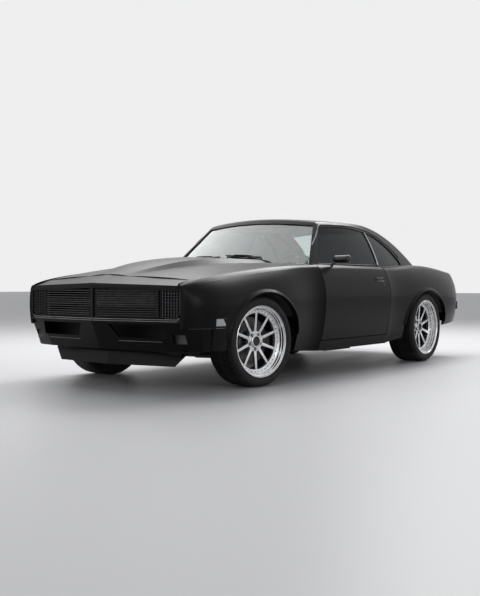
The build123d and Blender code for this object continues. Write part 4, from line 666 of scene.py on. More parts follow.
def pane_rims(name):
    """Closed loops of points round the outer face of each pane in a glass node."""
    bm = surface_of(name)
    outer = {
        face for face in bm.faces
        if face.normal.dot((face.calc_center_median() - CABIN_MIDDLE).normalized()) > OUTER_FACING
    }
    rim = [edge for edge in bm.edges if len(outer.intersection(edge.link_faces)) == 1]
    loops = []
    while rim:
        start, here = rim.pop(0).verts
        points = [start.co.copy()]
        while here is not start:
            points.append(here.co.copy())
            ahead = [item for item in here.link_edges if item in rim]
            if not ahead:
                break
            rim.remove(ahead[0])
            here = ahead[0].other_vert(here)
        loops.append(smooth_loop(points, SEAL_SPACING))
    bm.free()
    return [loop for loop in loops if len(loop) > 20]


TREES = {}
for name in (
    "roof", "door_left", "door_right", "door_glass_left", "door_glass_right", "quarter_glass", "fenders",
    "quarters", "windshield", "front_valance",
):
    bm = surface_of(name)
    TREES[name] = BVHTree.FromBMesh(bm)
    bm.free()


def side_of(names, y, z, side):
    """The point on the outermost of the named nodes where a ray from the car's side meets it at y and z."""
    for nudge in (0.0, 0.0007):
        start = Vector((2.0 * side, y + nudge, z + nudge))
        hits = [TREES[name].ray_cast(start, Vector((-side, 0, 0)))[0] for name in names]
        met = [hit for hit in hits if hit is not None and hit.x * side > 0]
        if met:
            return max(met, key=lambda hit: hit.x * side)
    return None


def side_line(names, places, side, shift):
    """The line along the car's side through (y, z) places, moved by `shift`; places off it drop out."""
    met = [side_of(names, y, z, side) for y, z in places]
    return [point + Vector(shift) for point in met if point is not None]


seal_rubber = finish_material("seal_rubber", (0.011, 0.011, 0.011), (0.018, 0.018, 0.018), 0.55, grain=500)
bright_trim = finish_material(
    "bright_trim", (0.50, 0.51, 0.52), (0.40, 0.41, 0.42), 0.24, metallic=1.0, patch=12, grain=1200,
)
worn_trim_and_painted_highlight = finish_material(
    "worn_trim_and_painted_highlight", (0.20, 0.20, 0.205), (0.13, 0.13, 0.135), 0.34, metallic=1.0, patch=12, grain=1200,
)
DOOR_TOP_Z = 0.925
bm = bmesh.new()
for name in ("windshield", "rear_window", "quarter_glass", "door_glass_left", "door_glass_right"):
    for loop in pane_rims(name):
        if name.startswith("door"):
            side = 1 if loop[0].x > 0 else -1
            first = next(
                index for index, point in enumerate(loop) if point.z <= DOOR_TOP_Z < loop[index - 1].z
            )
            loop = [point for point in loop[first:] + loop[:first] if point.z > DOOR_TOP_Z]
            bar(bm, [point + Vector((0.003 * side, 0, 0.004)) for point in loop], 0.005)
        else:
            bar(bm, loop, SEAL_RADIUS, closed=True)
piece(bm, "window_seals", "body", "dark_trim", seal_rubber, sharp=60)

STRIP_Y = 0.550
STRIP_HEIGHTS = (0.918, 1.214)
STRIP_RADIUS = 0.0085
bm = bmesh.new()
for side in (1, -1):
    low, high = STRIP_HEIGHTS
    places = [(STRIP_Y, low + step * (high - low) / 9) for step in range(10)]
    bar(bm, side_line(("quarter_glass",), places, side, (0.006 * side, -0.006, 0)), STRIP_RADIUS)
piece(bm, "pane_division_strips", "body", "dark_trim", bright_trim, sharp=60)

# (y, z) up the windshield pillar, along the roof's edge and down to the quarter panel
DRIP_LINE = (
    (-0.560, 0.922), (-0.487, 1.00), (-0.41, 1.073), (-0.325, 1.149), (-0.238, 1.222), (-0.215, 1.245),
    (-0.185, 1.2580), (-0.05, 1.2640), (0.15, 1.2680), (0.35, 1.2670), (0.55, 1.2510), (0.66, 1.2325),
    (0.78, 1.196), (0.90, 1.144), (1.00, 1.092), (1.07, 1.042), (1.11, 1.000),
)
DRIP_RADIUS = 0.0052
bm = bmesh.new()
for side in (1, -1):
    bar(bm, side_line(("roof",), DRIP_LINE, side, (0.003 * side, 0, 0)), DRIP_RADIUS)
piece(bm, "drip_rails", "body", "dark_trim", worn_trim_and_painted_highlight, sharp=60)

BELT_Z = 0.921
BELT_PLACES = [(-0.46 + step * 0.97 / 23, BELT_Z) for step in range(24)]
DOORS = ((1, "door_left"), (-1, "door_right"))
for side, name in DOORS:
    pane = name.replace("door", "door_glass")
    bm = bmesh.new()
    bar(bm, side_line((pane,), BELT_PLACES, side, (0.0062 * side, 0, -0.0075)), 0.006)
    piece(bm, f"belt_strip_{name}", name, "dark_trim", seal_rubber, sharp=60)


# Grille and headlamp doors: a stamped surround with thin bars in satin dark plate, two bright lower rails,
# and an egg-crate door over each pair of lamps, swept back with the surround.
GRILLE_SWEEP = radians(7.5)
GRILLE_CENTRE_Y = -2.319
GRILLE_BARS = 12
BAR_HEIGHTS = (0.528, 0.702)
DOOR_START, DOOR_END = 0.5905, 0.7300
DOOR_LOW, DOOR_HIGH = 0.5190, 0.7060
DOOR_CORNER = 0.034
CELLS_ACROSS, CELLS_UP = 6, 9


def grille_place(side):
    """Frame of one half of the grille: +X outward along it, +Y to its back and +Z up."""
    swept = Matrix.Translation((0, GRILLE_CENTRE_Y, 0)) @ Matrix.Rotation(GRILLE_SWEEP, 4, "Z")
    return swept if side > 0 else Matrix.Scale(-1, 4, (1, 0, 0)) @ swept


dark_plate = finish_material(
    "dark_plate", (0.085, 0.086, 0.090), (0.060, 0.061, 0.064), 0.3, metallic=0.85, patch=30, grain=900,
)
grille_black = finish_material(
    "grille_black", (0.0040, 0.0040, 0.0042), (0.0065, 0.0065, 0.0068), 0.4, patch=30, grain=600,
    specular=0.15,
)
lamp_back_and_recess_shade = finish_material("lamp_back_and_recess_shade", (0.004, 0.004, 0.0045), (0.007, 0.007, 0.007), 0.25, patch=20)
paint_nodes(grille_black, "grille")

bm = bmesh.new()
pitch_x = (DOOR_END - DOOR_START) / CELLS_ACROSS
pitch_z = (DOOR_HIGH - DOOR_LOW) / CELLS_UP
door_middle = ((DOOR_START + DOOR_END) / 2, 0.0295, (DOOR_LOW + DOOR_HIGH) / 2)
corner = (DOOR_END - DOOR_CORNER / 2, 0.017, DOOR_LOW + DOOR_CORNER / 2)
slant = Matrix.Rotation(-radians(45), 4, "Y")
for side in (1, -1):
    made = block(bm, (DOOR_CORNER * 1.42, 0.020, 0.0045), corner, turn=slant, bevel=0.0008, segments=1)
    made += block(bm, (DOOR_END - DOOR_START, 0.003, DOOR_HIGH - DOOR_LOW), door_middle, material=1)
    for column in range(CELLS_ACROSS + 1):
        low = DOOR_LOW + (DOOR_CORNER if column == CELLS_ACROSS else 0)
        place = (DOOR_START + column * pitch_x, 0.017, (DOOR_HIGH + low) / 2)
        made += block(bm, (0.0045, 0.020, DOOR_HIGH - low), place, bevel=0.0008, segments=1)
    for row in range(CELLS_UP + 1):
        end = DOOR_END - (DOOR_CORNER if row == 0 else 0)
        place = ((end + DOOR_START) / 2, 0.019, DOOR_LOW + row * pitch_z)
        made += block(bm, (end - DOOR_START, 0.014, 0.0042), place, bevel=0.0008, segments=1)
    bmesh.ops.transform(bm, matrix=grille_place(side), verts=made)
doors = piece(
    bm, "egg_crate_lamp_doors", "body", "dark_trim", dark_plate, lamp_back_and_recess_shade, sharp=30, outward=True,
)
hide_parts("headlamp_covers")

bm = bmesh.new()
for side in (1, -1):
    rails = []
    for z, end in ((0.4935, 0.722), (0.5065, 0.730)):
        line = [(0.004, 0.0025, z), (end - 0.02, 0.0025, z), (end, 0.0045, z + 0.012)]
        rails += bar(bm, line, 0.0036)
    for x in (0.020, 0.034):
        rails += bar(bm, [(x, 0.010, 0.512), (x, 0.010, 0.715)], 0.0018, material=1)
    low, high = BAR_HEIGHTS
    for index in range(GRILLE_BARS):
        z = low + index * (high - low) / (GRILLE_BARS - 1)
        rails += bar(bm, [(0.040, 0.007, z), (0.560, 0.007, z)], 0.0022, material=1)
    bmesh.ops.transform(bm, matrix=grille_place(side), verts=rails)
piece(bm, "grille_rails", "body", "dark_trim", worn_trim_and_painted_highlight, dark_plate, sharp=60, outward=True)

# Air intakes and splitter: a black panel behind the valance's two openings and a black filler strip below
# them are painted shade for the shadow in the openings and above the splitter; a thin bright strip runs along
# the lower edge of each opening, and the splitter is a separate blade of satin black sheet.
INTAKE_SHADE_PANEL = (1.44, 0.004, 0.285)
SHADE_FILLER_STRIP = (1.24, 0.004, 0.060)
INTAKE_ENDS = (0.190, 0.560)
INTAKE_EDGE_Z = 0.352
matte_black_and_painted_shade = finish_material(
    "matte_black_and_painted_shade", (0.007, 0.007, 0.007), (0.011, 0.011, 0.011), 0.5, grain=300, specular=0.2,
)
paint_nodes(satin_black, "front_splitter")
bm = bmesh.new()
# both black sheets are painted shade
block(bm, INTAKE_SHADE_PANEL, (0, -2.066, 0.4375), bevel=0.001, segments=1)
block(bm, SHADE_FILLER_STRIP, (0, -2.074, 0.285), bevel=0.001, segments=1)
for side in (1, -1):
    start, end = INTAKE_ENDS
    line = []
    for step in range(9):
        ray = Vector(((start + step * (end - start) / 8) * side, -3.0, INTAKE_EDGE_Z))
        met = TREES["front_valance"].ray_cast(ray, Vector((0, 1, 0)))[0]
        line.append(met + Vector((0, -0.0005, 0)))
    bar(bm, line, 0.0018, material=1)
piece(bm, "intake_shade_panel_and_strips", "body", "dark_trim", matte_black_and_painted_shade, worn_trim_and_painted_highlight, sharp=30, outward=True)

# Lamps: ribbed lenses over plated reflectors, clear at the side markers, smoked at the parking lamps and red
# at the tail. A thin black rubber or bright plated rim holds each marker and tail lens to the panel.
clear_lens = finish_material(
    "clear_lens", (0.50, 0.51, 0.52), (0.40, 0.408, 0.416), 0.16, drift=0.1, patch=60, ribs=52, depth=0.0012,
    metallic=0.35, coat=0.8,
)
smoked_lens = finish_material(
    "smoked_lens", (0.055, 0.055, 0.058), (0.044, 0.044, 0.0464), 0.16, drift=0.1, patch=60, ribs=52,
    depth=0.0012, metallic=0.35, coat=0.5,
)
red_lens = finish_material(
    "red_lens", (0.20, 0.003, 0.003), (0.16, 0.0024, 0.0024), 0.16, drift=0.1, patch=60, ribs=40,
    depth=0.0012, metallic=0.35, coat=0.35,
)
paint_nodes(clear_lens, "side_markers")
paint_nodes(smoked_lens, "parking_lamps")
paint_nodes(red_lens, "tail_lamps")

CORNERS = ((-1, -1), (1, -1), (1, 1), (-1, 1))
MARKER_Y, MARKER_Z = -1.969, 0.486
MARKER_HALF_LENGTH, MARKER_HALF_HEIGHT = 0.049, 0.027
TAIL_X, TAIL_Z = 0.545, 0.665
TAIL_HALF_WIDTH, TAIL_HALF_HEIGHT = 0.132, 0.061
TAIL_RIM_Y = 2.2435
TAIL_RIB_OFFSET = 0.0435
bm = bmesh.new()
for side in (1, -1):
    line = [
        side_of(("fenders",), MARKER_Y + along * MARKER_HALF_LENGTH, MARKER_Z + up * MARKER_HALF_HEIGHT, side)
        for along, up in CORNERS
    ]
    line.insert(1, line[0].lerp(line[1], 0.5))
    bar(bm, line, 0.0034, closed=True)
for side in (1, -1):
    line = [
        ((TAIL_X + across * TAIL_HALF_WIDTH) * side, TAIL_RIM_Y, TAIL_Z + up * TAIL_HALF_HEIGHT)
        for across, up in CORNERS
    ]
    bar(bm, line, 0.0045, closed=True, material=1)
    for rib in (-TAIL_RIB_OFFSET, TAIL_RIB_OFFSET):
        block(bm, (0.007, 0.012, 0.118), ((TAIL_X + rib) * side, 2.2475, TAIL_Z), bevel=0.001)
piece(bm, "lamp_rims", "body", "dark_trim", seal_rubber, bright_trim, sharp=40)

# Tail panel fittings: a round screw-on fuel cap in the middle, a lock below the deck lid and two number plate
# screws on the panel above the bumper.
TAIL_FACE_Y = 2.2425
FUEL_CAP_Z = 0.680
PLATE_SCREW_X = 0.089
bm = bmesh.new()
cap = spun(bm, (
    (0.0, 0.0), (0.0, 0.062), (0.008, 0.062), (0.012, 0.058), (0.014, 0.046), (0.010, 0.043), (0.010, 0.022),
    (0.015, 0.018), (0.015, 0.0),
), closed=False, steps=64)
cap_place = Matrix.Translation((0, TAIL_FACE_Y, FUEL_CAP_Z)) @ Matrix.Rotation(pi / 2, 4, "Z")
bmesh.ops.transform(bm, matrix=cap_place, verts=cap)
stud(bm, 0.011, 0.006, (0, TAIL_FACE_Y, 0.790), axis="Y", sides=24, top=0.9)
for x in (-PLATE_SCREW_X, PLATE_SCREW_X):
    stud(bm, 0.006, 0.004, (x, TAIL_FACE_Y, 0.590), axis="Y", top=0.7)
piece(bm, "tail_fittings", "body", "dark_trim", worn_trim_and_painted_highlight, sharp=35)


# Outside mirror, door handles and wipers: a slim cast mirror head on a bent stalk, flush paddle handles over
# a recess plate painted near-black as shade, a lock barrel below whose key slot is painted shade too, and
# black wiper arms whose rubber blades lie along the glass.
MIRROR_MIDDLE = Vector((0.890, -0.347, 0.955))
MIRROR_HEAD = (0.158, 0.046, 0.064)
MIRROR_STALK = (
    (0.806, -0.360, 0.905), (0.812, -0.359, 0.912), (0.832, -0.355, 0.922), (0.868, -0.350, 0.938),
)
bm = bmesh.new()
head = block(bm, MIRROR_HEAD, (0, 0, 0), bevel=0.019, segments=5)
for vert in head:
    forward = 0.5 - vert.co.y / MIRROR_HEAD[1]
    vert.co.x *= 1 - 0.16 * forward ** 2
    vert.co.z *= 1 - 0.30 * forward ** 2
bmesh.ops.translate(bm, vec=MIRROR_MIDDLE, verts=head)
back = MIRROR_MIDDLE + Vector((0, 0.0235, 0))
block(bm, (0.138, 0.002, 0.048), back, bevel=0.0009, segments=1, material=1)
bar(bm, MIRROR_STALK, 0.0072, sides=12)
stud(bm, 0.019, 0.006, (0.806, -0.360, 0.900), axis="Z", sides=20, top=0.8)
mirror_glass = finish_material(
    "mirror_glass", (0.80, 0.82, 0.84), (0.76, 0.78, 0.80), 0.02, drift=0.01, patch=4, grain=20,
    depth=0.000001, metallic=1.0,
)
gloss_black = finish_material(
    "gloss_black", (0.012, 0.012, 0.013), (0.016, 0.016, 0.017), 0.24, drift=0.04, patch=4, grain=400,
    specular=0.25, coat=0.3, coat_roughness=0.1,
)
mirror = piece(bm, "door_mirror", "door_left", "body_paint", gloss_black, mirror_glass, sharp=35)
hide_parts("mirror_left")

HANDLE_Y, HANDLE_Z = 0.366, 0.786
SLOPE_SPAN = 0.03
for side, name in DOORS:
    bm = bmesh.new()
    met = side_of((name,), HANDLE_Y, HANDLE_Z, side)
    low = side_of((name,), HANDLE_Y, HANDLE_Z - SLOPE_SPAN, side)
    lean = Matrix.Rotation(atan2(met.x - low.x, SLOPE_SPAN), 4, "Y")
    # the near-black plate behind the paddle is painted shade of the recess
    made = block(bm, (0.006, 0.150, 0.040), (0, 0, 0), bevel=0.0025, material=1)
    made += block(bm, (0.008, 0.112, 0.021), (0.0035 * side, -0.010, 0.003), bevel=0.003, segments=3)
    made += block(bm, (0.009, 0.022, 0.019), (0.0035 * side, 0.058, 0.003), bevel=0.003, segments=3)
    bmesh.ops.transform(bm, matrix=Matrix.Translation(met) @ lean, verts=made)
    lock = side_of((name,), HANDLE_Y + 0.058, HANDLE_Z - 0.044, side)
    key = stud(bm, 0.0085, 0.006, (-0.003, 0, 0), sides=20, top=0.9, material=2)
    # the near-black key slot is painted shade
    key += block(bm, (0.001, 0.0016, 0.008), (0.0033, 0, 0), material=1)
    turn = Matrix.Rotation(0 if side > 0 else pi, 4, "Z")
    bmesh.ops.transform(bm, matrix=Matrix.Translation(lock) @ turn, verts=key)
    piece(bm, f"paddle_handle_{name}", name, "dark_trim", matte_black_and_painted_shade, lamp_back_and_recess_shade, worn_trim_and_painted_highlight, sharp=35)

# pivot, elbow above the cowl, then blade ends as (x, z) on the glass
WIPER_SETS = (
    ((0.430, -0.652, 0.902), (0.385, -0.648, 0.928), (0.272, 0.966), (-0.095, 0.986)),
    ((0.075, -0.716, 0.902), (0.020, -0.712, 0.922), (-0.160, 0.974), (-0.540, 0.972)),
)
BLADE_STEPS = 12
BLADE_LIFT = 0.009


def on_glass(x, z):
    """The middle of a wiper blade over the windshield at x and z."""
    met, normal, _, _ = TREES["windshield"].ray_cast(Vector((x, -2.0, z)), Vector((0, 1, 0)))
    return met + normal * BLADE_LIFT


bm = bmesh.new()
for pivot, elbow, near_end, far_end in WIPER_SETS:
    stud(bm, 0.013, 0.024, (pivot[0], pivot[1], 0.898), axis="Z", sides=20, top=0.8)
    near, far = Vector(near_end), Vector(far_end)
    blade = [on_glass(*near.lerp(far, step / BLADE_STEPS)) for step in range(BLADE_STEPS + 1)]
    bar(bm, blade, 0.0068)
    holder = [point + Vector((0, -0.006, 0.009)) for point in blade[3:10]]
    bar(bm, holder, 0.0052)
    bar(bm, [pivot, elbow, holder[len(holder) // 2]], 0.0074)
wiper_set = piece(bm, "wiper_arms_and_blades", "body", "dark_trim", matte_black_and_painted_shade, sharp=40)
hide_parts("wipers")

# Wheel arch lips: the edges of the fenders and quarter panels are rolled outward into a narrow flare and
# painted with the body.
ARCH_SPRING_Z = 0.340
ARCH_SEARCH = (0.28, 0.48)
ARCH_HALVINGS = 14
BODY_SIDE_X = 0.7
LIP_STEPS = 60
LIP_START, LIP_SWEEP = radians(3), radians(174)
# each row's growth past the arch's edge, and how far it stands out
LIP_ROWS = (
    (-0.005, -0.006), (-0.005, 0.0118), (-0.002, 0.0136), (0.002, 0.0132), (0.007, 0.0098), (0.014, 0.0056),
    (0.021, 0.0022), (0.027, -0.0008),
)


def arch_place(centre_y, radius, angle):
    """(y, z) at a radius and angle from the arch's centre."""
    return centre_y + radius * cos(angle), ARCH_SPRING_Z + radius * sin(angle)


def arch_edge(name, centre_y, angle, side):
    """Radius at which the body side starts, going outward from the arch's centre at `angle`."""
    low, high = ARCH_SEARCH
    for _ in range(ARCH_HALVINGS):
        radius = (low + high) / 2
        met = side_of((name,), *arch_place(centre_y, radius, angle), side)
        if met is not None and met.x * side > BODY_SIDE_X:
            high = radius
        else:
            low = radius
    return high


bm = bmesh.new()
for (end, place_side), place in axle_frames.items():
    name = "fenders" if end == "front" else "quarters"
    side, other = (1, "right") if place_side == "left" else (-1, "left")
    centre_y = (place.translation.y + axle_frames[end, other].translation.y) / 2
    rows = [[] for _ in LIP_ROWS]
    for step in range(LIP_STEPS + 1):
        angle = LIP_START + step * LIP_SWEEP / LIP_STEPS
        edge = arch_edge(name, centre_y, angle, side)
        for row, (grow, out) in zip(rows, LIP_ROWS):
            met = side_of((name,), *arch_place(centre_y, edge + max(grow, 0.003), angle), side)
            if met is not None:
                row.append(bm.verts.new((met.x + out * side, *arch_place(centre_y, edge + grow, angle))))
    chains = [[bm.edges.new(pair) for pair in zip(row, row[1:])] for row in rows]
    for low_chain, high_chain in zip(chains, chains[1:]):
        bmesh.ops.bridge_loops(bm, edges=low_chain + high_chain)
piece(bm, "wheel_arch_lips", "body", "body_paint", satin_black, sharp=50, outward=True)

# Fender seams: a thin bar of pale trim metal along the lower edge of each front fender, where it meets the
# valance, is a painted highlight on the seam's edge.
SEAM_Z = 0.447
SEAM_PLACES = [(-2.205 + 0.0275 * step, SEAM_Z) for step in range(11)]
bm = bmesh.new()
for side in (1, -1):
    bar(bm, side_line(("fenders", "front_valance"), SEAM_PLACES, side, (0.0005 * side, 0, 0)), 0.0022)
piece(bm, "fender_seam_highlight_beads", "body", "body_paint", worn_trim_and_painted_highlight, sharp=60)

# Interior: padded bucket seats and bench in black vinyl with raised bolsters and sewn pleats, a crash-padded
# dashboard with a hooded instrument pod, a three-spoke wheel, a console and trimmed doors.
CUSHION_CUTS = 17
CUSHION_ROUNDING = 0.30
PLEATED_HALF = 0.62
vinyl = finish_material(
    "seat_vinyl", (0.016, 0.0155, 0.015), (0.024, 0.023, 0.022), 0.5, drift=0.1, patch=16, grain=520,
    depth=0.0004,
)
dash_vinyl = finish_material(
    "dash_vinyl", (0.014, 0.014, 0.0145), (0.021, 0.021, 0.0215), 0.6, drift=0.1, patch=20, grain=620,
    depth=0.0004,
)
paint_nodes(dash_vinyl, "dashboard")


def rounded(a, b, c):
    """How far `a` moves when the cube of half size 1 through it is rounded to a ball."""
    return a * (1 - b * b / 2 - c * c / 2 + b * b * c * c / 3) ** 0.5


def cushion(bm, size, place, turn, puff, pleats=0):
    """A stuffed cushion: a subdivided block swollen in its middle, its edges rounded, with sewn pleats."""
    made = bmesh.ops.create_cube(bm, size=1)["verts"]
    bmesh.ops.subdivide_edges(bm, edges=edges_at(made), cuts=CUSHION_CUTS, use_grid_fill=True)
    # a tag marks the vertices of cushions that are already finished
    made = [vert for vert in bm.verts if not vert.tag and max(abs(c) for c in vert.co) <= 0.5001]
    for vert in made:
        x, y, z = (2 * c for c in vert.co)
        ball = Vector((rounded(x, y, z), rounded(y, z, x), rounded(z, x, y)))
        soft = Vector((x, y, z)).lerp(ball, CUSHION_ROUNDING)
        lift = puff * (1 - x * x) * (1 - y * y)
        if pleats and z > 0.9 and abs(x) < PLEATED_HALF:
            crease = max(0.0, cos(x / PLEATED_HALF * pi * pleats)) ** 10
            lift -= 0.625 * puff * crease * (1 - y ** 8)
        vert.co = (soft.x * size[0] / 2, soft.y * size[1] / 2, soft.z * size[2] / 2 + lift * max(z, 0))
        vert.tag = True
    bmesh.ops.transform(bm, matrix=Matrix.Translation(place) @ turn, verts=made)
    return made


def lean_back(degrees):
    """A turn about the car's width; more than 45 degrees stands a cushion up."""
    return Matrix.Rotation(radians(degrees), 4, "X")


SEAT_X = 0.375
SEAT_TILT = lean_back(4)
RECLINE = lean_back(73)
for side, name in ((1, "driver"), (-1, "passenger")):
    x = SEAT_X * side
    bm = bmesh.new()
    cushion(bm, (0.30, 0.47, 0.13), (x, 0.150, 0.385), SEAT_TILT, 0.030, pleats=4)
    cushion(bm, (0.30, 0.56, 0.11), (x, 0.438, 0.635), RECLINE, 0.026, pleats=4)
    for edge in (-1, 1):
        tilt = SEAT_TILT @ Matrix.Rotation(radians(-9 * edge), 4, "Y")
        cushion(bm, (0.085, 0.48, 0.155), (x + 0.180 * edge, 0.150, 0.392), tilt, 0.012)
        tilt = RECLINE @ Matrix.Rotation(radians(-12 * edge), 4, "Y")
        cushion(bm, (0.08, 0.52, 0.135), (x + 0.182 * edge, 0.430, 0.620), tilt, 0.010)
    cushion(bm, (0.25, 0.075, 0.13), (x, 0.507, 0.872), lean_back(-14), 0.006)
    block(bm, (0.40, 0.40, 0.030), (x, 0.160, 0.312), bevel=0.006, material=1)
    for rail in (-0.15, 0.15):
        block(bm, (0.030, 0.42, 0.074), (x + rail, 0.170, 0.264), bevel=0.004, material=1)
    seat = piece(bm, f"bucket_seat_{name}", "body", "upholstery", vinyl, chassis_black, sharp=50)
    if side > 0:
        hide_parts("front_seats")

bm = bmesh.new()
for x in (0.275, -0.275):
    cushion(bm, (0.50, 0.36, 0.15), (x, 0.930, 0.545), lean_back(5), 0.030, pleats=5)
    cushion(bm, (0.50, 0.40, 0.12), (x, 1.095, 0.715), lean_back(70), 0.026, pleats=5)
bench = piece(bm, "rear_bench", "body", "upholstery", vinyl, sharp=50)
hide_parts("rear_seat")

WHEEL_MIDDLE = Vector((0.375, -0.150, 0.842))
COLUMN_TILT = radians(24)
RIM_RADIUS = 0.178
RIM_STEPS = 72
rim_leather = finish_material(
    "rim_leather", (0.013, 0.013, 0.013), (0.02, 0.02, 0.02), 0.5, patch=40, grain=800, depth=0.0003,
)
bm = bmesh.new()
rim = [ring_turn(step, RIM_STEPS, "Z") @ Vector((RIM_RADIUS, 0, 0)) for step in range(RIM_STEPS)]
made = bar(bm, rim, 0.0115, closed=True, sides=12)
for angle in (0, 180, 270):
    spoke = block(bm, (0.150, 0.026, 0.004), (0.104, 0, -0.006), bevel=0.0012, material=1)
    for hole in range(3):
        spoke += stud(bm, 0.0065, 0.0046, (0.062 + 0.036 * hole, 0, -0.0083), axis="Z", sides=16)
    bmesh.ops.transform(bm, matrix=Matrix.Rotation(radians(angle), 4, "Z"), verts=spoke)
    made += spoke
made += stud(bm, 0.040, 0.022, (0, 0, -0.016), axis="Z", sides=32, top=0.82)
made += stud(bm, 0.024, 0.004, (0, 0, 0.005), axis="Z", sides=32, top=0.92, material=1)
made += stud(bm, 0.030, 0.150, (0, 0, -0.166), axis="Z", sides=24, top=0.9)
lean = Matrix.Translation(WHEEL_MIDDLE) @ Matrix.Rotation(-(pi / 2 - COLUMN_TILT), 4, "X")
bmesh.ops.transform(bm, matrix=lean, verts=made)
steering = piece(bm, "three_spoke_wheel", "body", "interior_plastic", rim_leather, bright_trim, sharp=40)
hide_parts("steering_wheel")

# Engine: a V8 with cast iron block and heads, black ribbed valve covers, a round air cleaner over an alloy
# intake, belt-driven accessories at the front and a pressed steel sump. It sits on the front subframe.
cast_iron = finish_material(
    "cast_iron", (0.060, 0.058, 0.056), (0.10, 0.085, 0.070), 0.6, drift=0.2, patch=18, grain=260,
    depth=0.0006, metallic=0.6,
)
engine_enamel = finish_material(
    "engine_enamel", (0.020, 0.021, 0.023), (0.032, 0.032, 0.033), 0.38, drift=0.15, patch=14, grain=240,
    depth=0.0004,
)
cast_alloy = finish_material(
    "cast_alloy", (0.34, 0.34, 0.335), (0.24, 0.24, 0.235), 0.42, drift=0.15, patch=22, grain=420,
    depth=0.0003, metallic=0.9,
)
ENGINE_Y = -1.395
BANK_LEAN = radians(45)
BELT_Y = -1.700
# x, z and radius of the crank, water pump, alternator and steering pump pulleys
PULLEYS = ((0, 0.440, 0.085), (0, 0.590, 0.062), (0.165, 0.560, 0.036), (-0.160, 0.545, 0.050))
BELT = ((0.165, 0.596), (0.0, 0.652), (-0.165, 0.595), (-0.195, 0.520), (0.0, 0.356), (0.195, 0.545))
# radius, height, z, taper and material of the air cleaner's base, element and lid
AIR_CLEANER = (
    (0.165, 0.010, 0.738, 1.0, 1), (0.150, 0.034, 0.748, 1.0, 3), (0.165, 0.012, 0.782, 0.97, 1),
)
bm = bmesh.new()
block(bm, (0.300, 0.520, 0.230), (0, ENGINE_Y, 0.490), bevel=0.012)
block(bm, (0.230, 0.500, 0.100), (0, ENGINE_Y, 0.345), bevel=0.018, segments=4, material=1)
block(bm, (0.170, 0.220, 0.050), (0, ENGINE_Y + 0.12, 0.285), bevel=0.014, segments=4, material=1)
for side in (1, -1):
    lean = Matrix.Rotation(BANK_LEAN * side, 4, "Y")
    block(bm, (0.130, 0.500, 0.140), (0.130 * side, ENGINE_Y, 0.610), turn=lean, bevel=0.008)
    cover = (0.190 * side, ENGINE_Y, 0.672)
    block(bm, (0.100, 0.480, 0.060), cover, turn=lean, bevel=0.016, segments=4, material=1)
    for fin in range(4):
        step = 0.0126 * (fin - 1.5)
        place = ((0.210 + step) * side, ENGINE_Y, 0.694 - step)
        block(bm, (0.006, 0.400, 0.010), place, turn=lean, bevel=0.002, material=1)
    for port in range(4):
        y = ENGINE_Y - 0.190 + 0.125 * port
        bend = ((0.200, y, 0.585), (0.235, y, 0.560), (0.245, y + 0.02, 0.500), (0.232, y + 0.03, 0.440))
        bar(bm, [(x * side, along, z) for x, along, z in bend], 0.017, sides=12)
    collector = [(0.235 * side, ENGINE_Y - 0.17, 0.440), (0.230 * side, ENGINE_Y + 0.26, 0.420)]
    bar(bm, collector, 0.026, sides=12)
block(bm, (0.150, 0.420, 0.070), (0, ENGINE_Y, 0.660), bevel=0.012, segments=3, material=2)
block(bm, (0.120, 0.150, 0.060), (0, ENGINE_Y, 0.715), bevel=0.008, material=2)
for radius, height, z, top, material in AIR_CLEANER:
    stud(bm, radius, height, (0, ENGINE_Y, z), axis="Z", sides=64, top=top, material=material)
stud(bm, 0.008, 0.010, (0, ENGINE_Y, 0.794), axis="Z", sides=16, top=0.7, material=2)
for x, z, radius in PULLEYS:
    stud(bm, radius, 0.024, (x, -1.712, z), axis="Y", sides=48, material=1)
    stud(bm, radius * 0.35, 0.034, (x, -1.722, z), axis="Y", sides=24, material=2)
bar(bm, [(x, BELT_Y, z) for x, z in BELT], 0.006, closed=True, material=3)
stud(bm, 0.052, 0.130, (0.165, -1.690, 0.560), axis="Y", sides=32, material=2)
stud(bm, 0.045, 0.110, (-0.160, -1.690, 0.545), axis="Y", sides=32, material=1)
engine = piece(
    bm, "v8_engine", "body", "cast_metal", cast_iron, engine_enamel, cast_alloy, seal_rubber, sharp=35,
    outward=True,
)
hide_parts("engine_block")

# Radiator: soldered tubes and fins between two tanks, with a filler cap, joined to the engine by hoses.
RADIATOR_Y = -2.010
TANK = (0.700, 0.060, 0.045)
CORE_Z = 0.575
CORE_HEIGHT = 0.352
TUBES = 56
HOSES = (((-0.250, -1.985, 0.765), (-0.05, -1.60, 0.640)), ((0.260, -1.985, 0.390), (0.09, -1.66, 0.420)))
bm = bmesh.new()
for z in (0.772, 0.377):
    block(bm, TANK, (0, RADIATOR_Y, z), bevel=0.012, segments=3)
for side in (1, -1):
    block(bm, (0.018, 0.064, 0.360), (0.350 * side, RADIATOR_Y, CORE_Z), bevel=0.003)
for index in range(TUBES):
    block(bm, (0.0035, 0.036, CORE_HEIGHT), (-0.335 + index * 0.0122, RADIATOR_Y, CORE_Z), material=1)
block(bm, (0.676, 0.018, CORE_HEIGHT), (0, RADIATOR_Y, CORE_Z), material=2)
stud(bm, 0.022, 0.006, (0.200, RADIATOR_Y, 0.792), axis="Z", sides=24, material=1)
for start, end in HOSES:
    start, end = Vector(start), Vector(end)
    bend = start.lerp(end, 0.45) + Vector((0, 0, 0.012))
    bar(bm, [start, start + Vector((0, 0.05, 0)), bend, end], 0.019, sides=12, material=3)
core = piece(
    bm, "radiator_core", "body", "cast_metal", chassis_black, cast_alloy, matte_black_and_painted_shade, seal_rubber, sharp=35,
    outward=True,
)
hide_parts("radiator")

